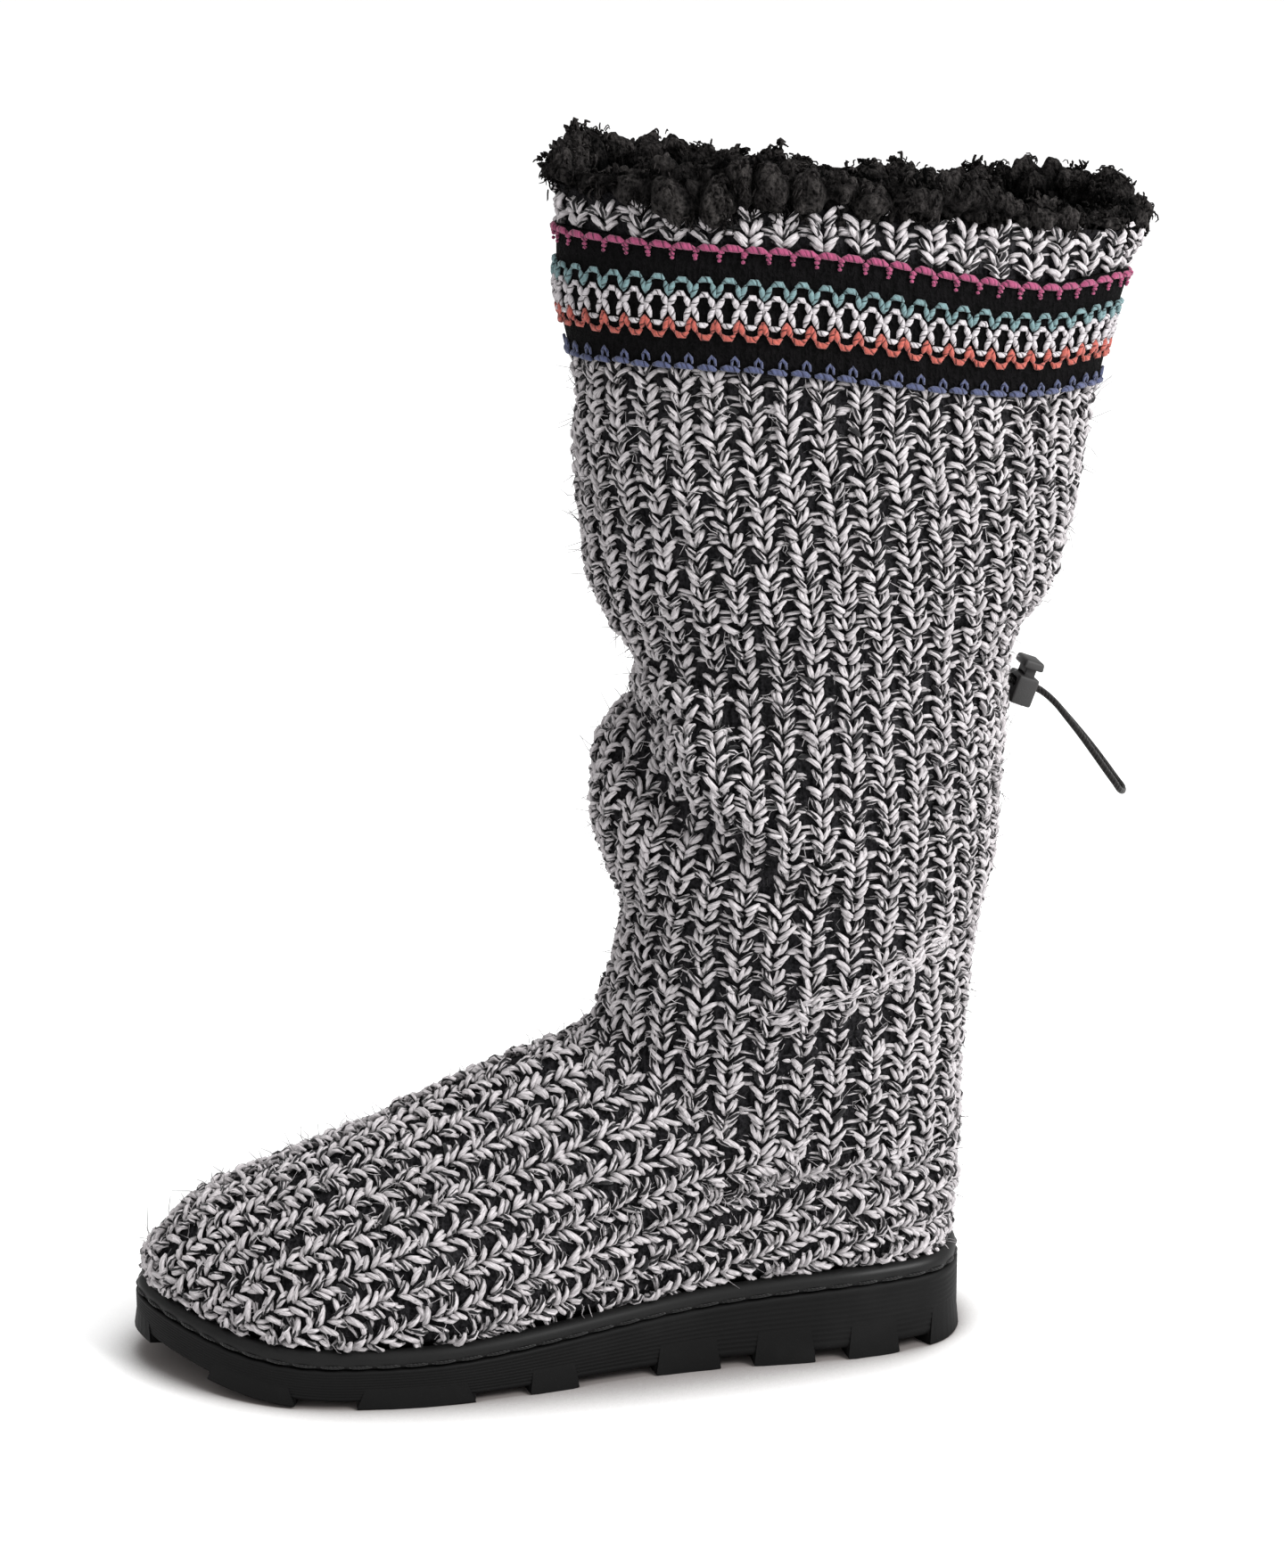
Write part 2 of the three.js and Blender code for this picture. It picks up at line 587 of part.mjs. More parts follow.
function fleeceCuff() {
  const roll = ringLoft((i) =>
    CUFF_PROFILE.map(({ out, up }) => {
      const point = RIM[i].clone().addScaledVector(RIM_OUT[i], out);
      const tall = up > GAP ? up * cuffTallness(i / AROUND) : up;
      return point.setZ(point.z + tall);
    }),
  );
  const rim = new THREE.CatmullRomCurve3(RIM, true);
  const locks = Array.from({ length: LOCK_COUNT }, (_, n) => fleeceLock(n, rim));
  return fromSolid(locks.reduce((solid, lock) => solid.add(toSolid(lock)), toSolid(roll)));
}

// Boxes by their lowest and highest corners
function box(low, high) {
  const size = high.clone().sub(low);
  const middle = low.clone().add(high).multiplyScalar(0.5);
  return new THREE.BoxGeometry(size.x, size.y, size.z).translate(middle.x, middle.y, middle.z);
}

const at = (x, y, z) => new THREE.Vector3(x, y, z);
const STEM_FOOT = -HOLE_HALF_HEIGHT - STEM_BAR;
const POCKET_FLOOR = STEM_FOOT - PLUNGER_TRAVEL - GAP;
const HEAD_FOOT = BARREL_TOP + PLUNGER_TRAVEL + GAP;

// A slab with rounded upright corners, used for the lock's barrel and its button.
function roundedBlock(low, high, radius) {
  const shape = new THREE.Shape();
  const x = LOCK_HALF_DEPTH - radius;
  const y = LOCK_HALF_WIDTH - radius;
  shape.absarc(x, y, radius, 0, Math.PI / 2);
  shape.absarc(-x, y, radius, Math.PI / 2, Math.PI);
  shape.absarc(-x, -y, radius, Math.PI, 1.5 * Math.PI);
  shape.absarc(x, -y, radius, 1.5 * Math.PI, 2 * Math.PI);
  const block = new THREE.ExtrudeGeometry(shape, {
    depth: high - low,
    bevelEnabled: false,
    curveSegments: 3,
  });
  return block.translate(0, 0, low);
}

function cordHole(reach) {
  return box(
    at(-reach, -HOLE_HALF_WIDTH, -HOLE_HALF_HEIGHT),
    at(reach, HOLE_HALF_WIDTH, HOLE_HALF_HEIGHT),
  );
}

function lockBarrel() {
  const pocket = box(
    at(-STEM_HALF_DEPTH - GAP, -STEM_HALF_WIDTH - GAP, POCKET_FLOOR),
    at(STEM_HALF_DEPTH + GAP, STEM_HALF_WIDTH + GAP, BARREL_TOP + CUT_MARGIN),
  );
  const body = toSolid(roundedBlock(POCKET_FLOOR - BARREL_FLOOR, BARREL_TOP, LOCK_CORNER));
  return fromSolid(body.subtract(toSolid(pocket)).subtract(toSolid(cordHole(LOCK_HALF_DEPTH + CUT_MARGIN))));
}

// The plunger: a button on a flat stem, whose window lets the cord through at any depth.
function lockPlunger() {
  const stem = box(
    at(-STEM_HALF_DEPTH, -STEM_HALF_WIDTH, STEM_FOOT),
    at(STEM_HALF_DEPTH, STEM_HALF_WIDTH, HEAD_FOOT + CUT_MARGIN),
  );
  const window = box(
    at(-STEM_HALF_DEPTH - CUT_MARGIN, -HOLE_HALF_WIDTH, -HOLE_HALF_HEIGHT),
    at(STEM_HALF_DEPTH + CUT_MARGIN, HOLE_HALF_WIDTH, HOLE_HALF_HEIGHT + PLUNGER_TRAVEL),
  );
  const head = toSolid(roundedBlock(HEAD_FOOT, HEAD_FOOT + HEAD_THICKNESS, LOCK_CORNER));
  return fromSolid(head.add(toSolid(stem)).subtract(toSolid(window)));
}

// The drawcord: out along one side, round its loop, and back along the other.
function cordPath() {
  const half = CORD_SPACING / 2;
  const out = CORD_ROUTE.map((row) => at(row.x, half * row.spread, row.z));
  const back = CORD_ROUTE.map((row) => at(row.x, -half * row.spread, row.z)).reverse();
  const end = CORD_ROUTE.at(-1);
  const before = CORD_ROUTE.at(-2);
  const run = at(end.x - before.x, 0, end.z - before.z).normalize();
  const turn = [0.25, 0.5, 0.75].map((share) => {
    const angle = Math.PI * share;
    const along = CORD_LOOP_RADIUS * Math.sin(angle);
    return at(end.x, CORD_LOOP_RADIUS * Math.cos(angle), end.z).addScaledVector(run, along);
  });
  return new THREE.CatmullRomCurve3([...out, ...turn, ...back]);
}

function drawcord() {
  const section = new THREE.Shape(
    Array.from({ length: CORD_SIDES }, (_, i) => {
      const angle = (2 * Math.PI * i) / CORD_SIDES;
      const radius = CORD_DIAMETER / 2;
      return new THREE.Vector2(radius * Math.cos(angle), radius * Math.sin(angle));
    }),
  );
  return new THREE.ExtrudeGeometry(section, { steps: CORD_STEPS, extrudePath: cordPath() });
}

// The boot
const boot = new THREE.Group();
boot.name = 'slipper_boot';

function addPiece(parent, name, geometry, material) {
  const mesh = new THREE.Mesh(geometry, material.clone());
  mesh.name = name;
  parent.add(mesh);
  return mesh;
}

addPiece(boot, 'outsole', outsole(), MATERIALS.rubber);
addPiece(boot, 'welt', welt(), MATERIALS.piping);
addPiece(boot, 'insole', insole(), MATERIALS.fleece);
addPiece(boot, 'upper', upper(), MATERIALS.knit);
addPiece(boot, 'shaft', shaft(), MATERIALS.knit);
addPiece(boot, 'stripe_band', stripeBand(), MATERIALS.stripes);
addPiece(boot, 'fleece_cuff', fleeceCuff(), MATERIALS.fleece);

// The part's origin is on the floor under the middle of the boot itself, without cord and lock.
const extent = new THREE.Box3().setFromObject(boot, true);
const middle = extent.getCenter(new THREE.Vector3());
boot.position.set(-middle.x, -middle.y, 0);

const cordLock = new THREE.Group();
cordLock.position.copy(LOCK_MIDDLE);
cordLock.rotation.y = -LOCK_TILT;
boot.add(cordLock);
addPiece(cordLock, 'cord_lock_barrel', lockBarrel(), MATERIALS.plastic);
addPiece(cordLock, 'cord_lock_plunger', lockPlunger(), MATERIALS.plastic);
addPiece(boot, 'drawcord', drawcord(), MATERIALS.elastic);

export default boot;
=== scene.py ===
# %% [markdown]
# # A knitted slipper boot
# The real thing is a slack tube of chunky two-ply rib, sewn to a low foot of the same rib, with a
# crocheted stripe band, a fleece collar, a piped edge and a lugged rubber sole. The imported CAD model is
# the fixed frame here: every piece below is placed on it in metres, and stands for one of its nodes.

# %% Load the frame
import math

import bmesh
import bpy
import numpy as np
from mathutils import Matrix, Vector, noise
from mathutils.bvhtree import BVHTree


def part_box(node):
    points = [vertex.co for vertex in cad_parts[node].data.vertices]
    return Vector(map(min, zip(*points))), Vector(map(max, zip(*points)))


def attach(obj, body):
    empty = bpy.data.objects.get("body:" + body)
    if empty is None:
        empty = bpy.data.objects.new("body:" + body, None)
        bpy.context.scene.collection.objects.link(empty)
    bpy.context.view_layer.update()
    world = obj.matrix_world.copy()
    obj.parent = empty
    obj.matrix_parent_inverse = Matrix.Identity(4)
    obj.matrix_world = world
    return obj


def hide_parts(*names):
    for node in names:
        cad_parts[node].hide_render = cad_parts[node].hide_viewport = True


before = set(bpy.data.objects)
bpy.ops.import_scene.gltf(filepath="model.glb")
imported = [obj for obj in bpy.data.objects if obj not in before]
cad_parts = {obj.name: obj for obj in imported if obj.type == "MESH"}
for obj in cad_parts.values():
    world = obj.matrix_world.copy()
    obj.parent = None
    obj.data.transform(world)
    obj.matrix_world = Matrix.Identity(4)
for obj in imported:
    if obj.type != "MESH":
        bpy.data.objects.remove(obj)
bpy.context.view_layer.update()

# %% [markdown]
# The shoe's own sizes are easiest to think of in millimetres, with the heel at x = 0. `place` turns such
# points into metres in the frame. The only thing it needs is where the back of the sole lies.

# %% The shoe's own millimetres
MM = 0.001
SOLE_LENGTH = 261.0
BALL_WIDTH = 92.0
COLLAR_HEIGHT = 364.0
HEEL_BACK = 0.003 * SOLE_LENGTH
HEEL_SHIFT = HEEL_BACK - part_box("outsole")[0].x / MM


def place(points):
    """Points in the shoe's own millimetres, as metres in the frame."""
    return (np.asarray(points, float) - (HEEL_SHIFT, 0, 0)) * MM


print("the shoe's heel lies", round(HEEL_SHIFT, 2), "mm behind the frame's origin")

# %% [markdown]
# ## Camera and light
# The photograph looks at the outer side from a little in front and above, through a long lens. A long
# lens a good metre away keeps the tall shaft from leaning. The key light comes from behind the heel, so the
# front of the boot falls into soft shade.

# %% Camera
VIEW_TURN = math.radians(170)
VIEW_RISE = math.radians(16)
VIEW_DISTANCE = 1.3
VIEW_TARGET = Vector((-0.00321, 0.0, 0.17991))
VIEW_LENS, VIEW_SENSOR = 97.46, 36.0


def add_object(name, data):
    """A new object in the scene."""
    added = bpy.data.objects.new(name, data)
    bpy.context.collection.objects.link(added)
    return added


camera_data = bpy.data.cameras.new("camera")
camera_data.lens = VIEW_LENS
camera_data.sensor_width = VIEW_SENSOR
camera = add_object("camera", camera_data)
towards_camera = Vector((
    math.sin(VIEW_TURN) * math.cos(VIEW_RISE),
    -math.cos(VIEW_TURN) * math.cos(VIEW_RISE),
    math.sin(VIEW_RISE),
))
camera.location = VIEW_TARGET + VIEW_DISTANCE * towards_camera
camera.rotation_euler = (-towards_camera).to_track_quat("-Z", "Y").to_euler()
bpy.context.scene.camera = camera
print("camera at", [round(x, 3) for x in camera.location])

# %% Soft studio light
bpy.context.scene.view_settings.view_transform = "Standard"


def softbox(name, where, size, watts):
    """A square area light that looks at the middle of the boot."""
    light_data = bpy.data.lights.new(name, "AREA")
    light_data.size = size
    light_data.energy = watts
    light = add_object(name, light_data)
    light.location = where
    light.rotation_euler = (VIEW_TARGET - Vector(where)).to_track_quat("-Z", "Y").to_euler()


SKY_STRENGTH = 1.05
softbox("key_light", (-1.15, 1.0, 1.25), 0.8, 56)
softbox("front_light", (1.3, 1.5, 0.9), 1.2, 4)
softbox("top_light", (-0.1, -0.2, 1.9), 1.3, 8)
sky = bpy.data.worlds.new("studio")
sky.use_nodes = True
sky.node_tree.nodes["Background"].inputs["Color"].default_value = (1, 1, 1, 1)
sky.node_tree.nodes["Background"].inputs["Strength"].default_value = SKY_STRENGTH
bpy.context.scene.world = sky

# %% [markdown]
# ## Materials
# Almost everything here is yarn or fleece. One node group draws a plied yarn from the strand's own UV map:
# u runs along the yarn in millimetres and v once round it, so a stripe of v that drifts with u is a ply
# that twists. Noise on Object coordinates gives fleece its fuzz, and rubber and plastic their grain.

# %% Helpers for node trees
def paint(red, green, blue):
    """A colour read off a screen, as the linear colour that shaders want."""
    linear = [((c / 255 + 0.055) / 1.055) ** 2.4 if c > 10 else c / 255 / 12.92 for c in (red, green, blue)]
    return (*linear, 1.0)


def feed(tree, socket, value):
    """Links a socket, or sets it where the value is a plain number or colour."""
    if isinstance(value, bpy.types.NodeSocket):
        tree.links.new(value, socket)
    else:
        socket.default_value = value


def sums(tree, operation, first, second=0.0, third=0.0):
    node = tree.nodes.new("ShaderNodeMath")
    node.operation = operation
    for socket, value in zip(node.inputs, (first, second, third)):
        feed(tree, socket, value)
    return node.outputs[0]


def fade(tree, value, low, high, to_low=0.0, to_high=1.0):
    """A smooth step from low to high."""
    node = tree.nodes.new("ShaderNodeMapRange")
    node.interpolation_type = "SMOOTHSTEP"
    for socket, number in zip(node.inputs, (value, low, high, to_low, to_high)):
        feed(tree, socket, number)
    return node.outputs[0]


def blend_colour(tree, share, first, second):
    node = tree.nodes.new("ShaderNodeMix")
    node.data_type = "RGBA"
    feed(tree, node.inputs[0], share)
    feed(tree, node.inputs[6], first)
    feed(tree, node.inputs[7], second)
    return node.outputs[2]


def cloud(tree, vector, scale, detail=3.0):
    """A noise value on a vector."""
    node = tree.nodes.new("ShaderNodeTexNoise")
    feed(tree, node.inputs["Vector"], vector)
    node.inputs["Scale"].default_value = scale
    node.inputs["Detail"].default_value = detail
    return node.outputs["Fac"]


def new_group(name, inputs, outputs):
    """An empty shader node group with named sockets: its tree, its inputs and its output node."""
    tree = bpy.data.node_groups.new(name, "ShaderNodeTree")
    for title, kind, value in inputs:
        socket = tree.interface.new_socket(title, in_out="INPUT", socket_type=kind)
        if value is not None:
            socket.default_value = value
    for title, kind in outputs:
        tree.interface.new_socket(title, in_out="OUTPUT", socket_type=kind)
    given = tree.nodes.new("NodeGroupInput").outputs
    result = tree.nodes.new("NodeGroupOutput").inputs
    return tree, given, result


def new_material(name, roughness, bump=0.0, bump_depth=0.0005):
    """A material with a Principled shader, and a Bump node where bump is not 0."""
    material = bpy.data.materials.new(name)
    material.use_nodes = True
    tree = material.node_tree
    shader = tree.nodes["Principled BSDF"]
    shader.inputs["Roughness"].default_value = roughness
    relief = None
    if bump:
        relief = tree.nodes.new("ShaderNodeBump")
        relief.inputs["Strength"].default_value = bump
        relief.inputs["Distance"].default_value = bump_depth
        tree.links.new(relief.outputs[0], shader.inputs["Normal"])
    return material, tree, shader, relief


def use_group(tree, group, **values):
    node = tree.nodes.new("ShaderNodeGroup")
    node.node_tree = group
    for title, value in values.items():
        feed(tree, node.inputs[title.replace("_", " ")], value)
    return node


print("node helpers ready")

# %% Plied yarn group
COLOUR, VALUE, VECTOR = "NodeSocketColor", "NodeSocketFloat", "NodeSocketVector"
plied_yarn, given, result = new_group(
    "plied_yarn",
    [("Strand", VECTOR, None), ("Light", COLOUR, (0.5, 0.5, 0.5, 1)), ("Dark", COLOUR, (0.01, 0.01, 0.01, 1)),
     ("Tone", VALUE, 0.0), ("Dark Ply", VALUE, 0.13), ("Turns per mm", VALUE, 0.1)],
    [("Color", COLOUR), ("Height", VALUE)],
)
parts = plied_yarn.nodes.new("ShaderNodeSeparateXYZ")
feed(plied_yarn, parts.inputs[0], given["Strand"])
along, around = parts.outputs[0], parts.outputs[1]
twist = sums(plied_yarn, "ADD", around, sums(plied_yarn, "MULTIPLY", along, given["Turns per mm"]))
stretched = plied_yarn.nodes.new("ShaderNodeCombineXYZ")
feed(plied_yarn, stretched.inputs[0], sums(plied_yarn, "MULTIPLY", along, 0.22))
feed(plied_yarn, stretched.inputs[1], sums(plied_yarn, "MULTIPLY", twist, 5.0))
hairs = cloud(plied_yarn, stretched.outputs[0], 2.2, 4.0)
wander = sums(plied_yarn, "MULTIPLY", sums(plied_yarn, "SUBTRACT", hairs, 0.5), 0.34)
dark_ply = sums(plied_yarn, "ABSOLUTE", sums(plied_yarn, "SUBTRACT", sums(plied_yarn, "FRACT", twist), 0.5))
dark_ply = sums(plied_yarn, "ADD", dark_ply, wander)
edge = sums(plied_yarn, "ADD", given["Dark Ply"], 0.05)
darkness = fade(plied_yarn, dark_ply, given["Dark Ply"], edge, 1.0, 0.0)
mostly_dark = fade(plied_yarn, given["Tone"], 0.86, 0.9)
spare_light = fade(plied_yarn, dark_ply, 0.33, 0.4, 1.0, 0.25)
darkness = sums(plied_yarn, "MAXIMUM", darkness, sums(plied_yarn, "MULTIPLY", mostly_dark, spare_light))
lit = sums(plied_yarn, "MULTIPLY", fade(plied_yarn, hairs, 0.28, 0.68, 0.5, 1.0),
           fade(plied_yarn, given["Tone"], 0.0, 0.8, 1.0, 0.84))
shaded = plied_yarn.nodes.new("ShaderNodeMix")
shaded.data_type = "RGBA"
shaded.blend_type = "MULTIPLY"
shaded.inputs[0].default_value = 1.0
feed(plied_yarn, shaded.inputs[6], given["Light"])
feed(plied_yarn, shaded.inputs[7], lit)
feed(plied_yarn, result["Color"], blend_colour(plied_yarn, darkness, shaded.outputs[2], given["Dark"]))
twist_angle = sums(plied_yarn, "MULTIPLY", twist, 2 * math.pi)
plies = sums(plied_yarn, "ABSOLUTE", sums(plied_yarn, "SINE", twist_angle))
relief_height = sums(plied_yarn, "ADD", sums(plied_yarn, "MULTIPLY", plies, 0.6), hairs)
feed(plied_yarn, result["Height"], relief_height)
print("plied yarn group:", len(plied_yarn.nodes), "nodes")

# %% Fleece and grain groups
woolly, given, result = new_group(
    "woolly",
    [("Point", VECTOR, None), ("Deep", COLOUR, (0, 0, 0, 1)), ("Tip", COLOUR, (0.03, 0.03, 0.03, 1)),
     ("Share", VALUE, 1.0)],
    [("Color", COLOUR), ("Height", VALUE)],
)
combed = woolly.nodes.new("ShaderNodeVectorMath")
combed.operation = "MULTIPLY"
combed.inputs[1].default_value = (1, 1, 0.3)
feed(woolly, combed.inputs[0], given["Point"])
fuzz = cloud(woolly, given["Point"], 900.0, 5.0)
tufted = sums(woolly, "ADD", cloud(woolly, combed.outputs[0], 700.0, 4.0), fuzz)
# Share dims the lighter tips; on the fleece it is the tone attribute, which holds painted shade.
lighter = sums(woolly, "MULTIPLY", fade(woolly, tufted, 0.68, 1.36), given["Share"])
feed(woolly, result["Color"], blend_colour(woolly, lighter, given["Deep"], given["Tip"]))
feed(woolly, result["Height"], tufted)

moulded, given, result = new_group(
    "moulded",
    [("Point", VECTOR, None), ("Base", COLOUR, (0, 0, 0, 1)), ("Scuffed", COLOUR, (0.05, 0.05, 0.05, 1)),
     ("Grain Scale", VALUE, 1500.0)],
    [("Color", COLOUR), ("Roughness", VALUE), ("Height", VALUE)],
)
grain_node = moulded.nodes.new("ShaderNodeTexNoise")
feed(moulded, grain_node.inputs["Vector"], given["Point"])
feed(moulded, grain_node.inputs["Scale"], given["Grain Scale"])
grain_node.inputs["Detail"].default_value = 2.0
patches = cloud(moulded, given["Point"], 45.0, 4.0)
worn = fade(moulded, patches, 0.45, 0.8)
feed(moulded, result["Color"], blend_colour(moulded, worn, given["Base"], given["Scuffed"]))
feed(moulded, result["Roughness"], fade(moulded, patches, 0.2, 0.8, 0.52, 0.74))
feed(moulded, result["Height"], grain_node.outputs["Fac"])
print("fleece and grain groups ready")

# %% The finishes
def object_point(tree):
    return tree.nodes.new("ShaderNodeTexCoord").outputs["Object"]


def read_tone(tree):
    """The strand's own lightness, from its tone attribute; on the fleece that attribute also carries painted
    shade.
    """
    tone = tree.nodes.new("ShaderNodeAttribute")
    tone.attribute_name = "tone"
    return tone.outputs["Fac"]


def dress(tree, shader, relief, look, settings):
    """Feeds a group's colour and height to the shader, and sets its plain values."""
    feed(tree, shader.inputs["Base Color"], look.outputs["Color"])
    feed(tree, relief.inputs["Height"], look.outputs["Height"])
    for title, amount in settings.items():
        shader.inputs[title].default_value = amount


def yarn_material(name, light, dark, dark_ply, turns, toned=False):
    """Yarn that reads the strand's UV map, and its tone attribute where it is marled."""
    material, tree, shader, relief = new_material(name, 0.88, 0.7, 0.0006)
    strand_map = tree.nodes.new("ShaderNodeUVMap")
    strand_map.uv_map = "strand"
    look = use_group(tree, plied_yarn, Strand=strand_map.outputs[0], Light=light, Dark=dark,
                     Dark_Ply=dark_ply, Turns_per_mm=turns)
    if toned:
        feed(tree, look.inputs["Tone"], read_tone(tree))
    dress(tree, shader, relief, look, {"Sheen Weight": 0.12, "Specular IOR Level": 0.2})
    return material


def woolly_material(name, deep, tip, sheen, toned=False):
    """Fleece or fuzzy cloth; where it is toned, every strand has its own lightness, and the tone also carries
    painted shade in the gaps between clumps and low inside the roll.
    """
    material, tree, shader, relief = new_material(name, 1.0, 1.0, 0.002)
    look = use_group(tree, woolly, Point=object_point(tree), Deep=deep, Tip=tip)
    if toned:
        feed(tree, look.inputs["Share"], read_tone(tree))
    dress(tree, shader, relief, look,
          {"Sheen Weight": sheen, "Sheen Roughness": 0.6, "Specular IOR Level": 0.03})
    return material


def moulded_material(name, base, scuffed, grain, gloss, coat=0.0):
    """Rubber or plastic with a fine grain and scuffed patches."""
    material, tree, shader, relief = new_material(name, 0.6, 0.35, 0.0002)
    look = use_group(tree, moulded, Point=object_point(tree), Base=base, Scuffed=scuffed, Grain_Scale=grain)
    feed(tree, shader.inputs["Roughness"], look.outputs["Roughness"])
    dress(tree, shader, relief, look,
          {"Specular IOR Level": gloss, "Coat Weight": coat, "Coat Roughness": 0.35})
    return material


BLACK_YARN = paint(17, 16, 18)
marled = yarn_material("marled_yarn", paint(183, 178, 180), BLACK_YARN, 0.085, 0.06, toned=True)
pink_yarn = yarn_material("pink_yarn", paint(142, 61, 95), paint(66, 20, 42), 0.06, 0.3)
teal_yarn = yarn_material("teal_yarn", paint(101, 127, 130), paint(32, 48, 50), 0.06, 0.3)
white_yarn = yarn_material("white_yarn", paint(180, 175, 178), paint(80, 76, 78), 0.06, 0.3)
orange_yarn = yarn_material("orange_yarn", paint(162, 80, 70), paint(74, 26, 22), 0.06, 0.3)
blue_yarn = yarn_material("blue_yarn", paint(68, 74, 103), paint(28, 31, 50), 0.06, 0.3)
elastic = yarn_material("elastic_cord", paint(21, 19, 18), paint(7, 7, 7), 0.1, 0.4)
sewing_thread = yarn_material("sewing_thread", paint(9, 9, 9), paint(4, 4, 4), 0.1, 0.4)
fleece = woolly_material("fleece", paint(2, 2, 2), paint(66, 63, 62), 0.0, toned=True)
fleece_curls = woolly_material("fleece_curls", paint(2, 2, 2), paint(80, 76, 75), 0.0, toned=True)
lining = woolly_material("fleece_lining", paint(6, 6, 6), paint(24, 23, 22), 0.04)
knit_back = woolly_material("knit_back", paint(9, 9, 10), paint(40, 39, 41), 0.0)
ribbon_knit = woolly_material("ribbon_knit", paint(6, 6, 6), paint(15, 14, 15), 0.0)
piping = moulded_material("piping", paint(9, 9, 9), paint(15, 15, 15), 900.0, 0.1, 0.12)
rubber = moulded_material("rubber", paint(8, 8, 8), paint(16, 16, 16), 1400.0, 0.1)
lock_plastic = moulded_material("lock_plastic", paint(25, 24, 24), paint(40, 39, 39), 1800.0, 0.4)
for title, amount in (("Specular IOR Level", 0.12), ("Sheen Weight", 0.0), ("Roughness", 0.25)):
    elastic.node_tree.nodes["Principled BSDF"].inputs[title].default_value = amount
print("materials:", len(bpy.data.materials))

# %% [markdown]
# The floor is a plain pale sheet. Where the sole stands close above it, an ambient occlusion node darkens its
# paint, which makes the soft dark edge under heel and toe clearer than the studio's broad lights alone would.

# %% Floor
FLOOR_SIZE, CONTACT_REACH = 14.0, 0.06
floor_paint, floor_tree, floor_shader, _ = new_material("floor_paint", 0.85)
floor_tone = fade(floor_tree, cloud(floor_tree, object_point(floor_tree), 3.0), 0.3, 0.7)
floor_plain = blend_colour(floor_tree, floor_tone, paint(249, 249, 249), paint(251, 251, 251))
floor_corner = floor_tree.nodes.new("ShaderNodeAmbientOcclusion")
floor_corner.inputs["Distance"].default_value = CONTACT_REACH
floor_open = fade(floor_tree, floor_corner.outputs["AO"], 0.42, 0.97)
floor_colour = blend_colour(floor_tree, floor_open, paint(104, 99, 97), floor_plain)
feed(floor_tree, floor_shader.inputs["Base Color"], floor_colour)
floor_mesh = bmesh.new()
bmesh.ops.create_grid(floor_mesh, x_segments=2, y_segments=2, size=FLOOR_SIZE)
floor_data = bpy.data.meshes.new("floor")
floor_mesh.to_mesh(floor_data)
floor_mesh.free()
floor_data.materials.append(floor_paint)
floor = add_object("floor", floor_data)
print("floor laid")

# %% [markdown]
# ## Strands of yarn
# Stitches, stripes and the drawcord are all tubes along a line, thousands of them, so they are made
# together as arrays: a ring of points round every station of every line, quads between the rings, and a
# cap on each end. One joined mesh of many small tubes is far lighter than thousands of objects.

# %% Tubes from lines
def unit(vectors):
    return vectors / np.maximum(np.linalg.norm(vectors, axis=-1, keepdims=True), 1e-9)


def tubes(lines, radii, ups, sides=6):
    """Points, and quads and end triangles with their UVs, of tubes along lines (strand, station, xyz).

    All in millimetres; the tubes are as thick as radii.
    """
    count, stations, _ = lines.shape
    forward = unit(np.gradient(lines, axis=1))
    across = unit(np.cross(forward, ups))
    upward = np.cross(across, forward)
    turn = 2 * math.pi * np.arange(sides) / sides
    rim = np.cos(turn)[:, None] * across[:, :, None] + np.sin(turn)[:, None] * upward[:, :, None]
    points = lines[:, :, None] + np.broadcast_to(radii, (count, stations))[:, :, None, None] * rim
    i, j = np.meshgrid(np.arange(stations - 1), np.arange(sides), indexing="ij")
    after = (j + 1) % sides
    walls = np.stack([i * sides + j, (i + 1) * sides + j, (i + 1) * sides + after, i * sides + after], -1)
    fan = np.array([(0, 2 * k + 1, 2 * k + 2, 2 * k + 3) for k in range(sides // 2 - 1)])
    tip = np.array([(0, sides - 2, sides - 1)] * (sides % 2), int).reshape(-1, 3)
    last = (stations - 1) * sides
    steps = np.linalg.norm(np.diff(lines, axis=1), axis=2)
    run = np.concatenate([np.zeros((count, 1)), np.cumsum(steps, axis=1)], axis=1)
    wall_v = np.stack([j, j, j + 1, j + 1], -1).reshape(-1, 4)
    quads = (np.concatenate([walls.reshape(-1, 4), fan, last + fan[:, ::-1]]),
             np.concatenate([wall_v, fan, fan[:, ::-1]]))
    tips = (np.concatenate([tip, last + tip[:, ::-1]]), np.concatenate([tip, tip[:, ::-1]]))
    faces = []
    for corners, v in (quads, tips):
        u = run[:, corners // sides]
        uv = np.stack([u, np.broadcast_to(v / sides, u.shape)], -1)
        faces.append((corners + np.arange(count)[:, None, None] * stations * sides, uv))
    return points.reshape(-1, 3), faces, stations * sides


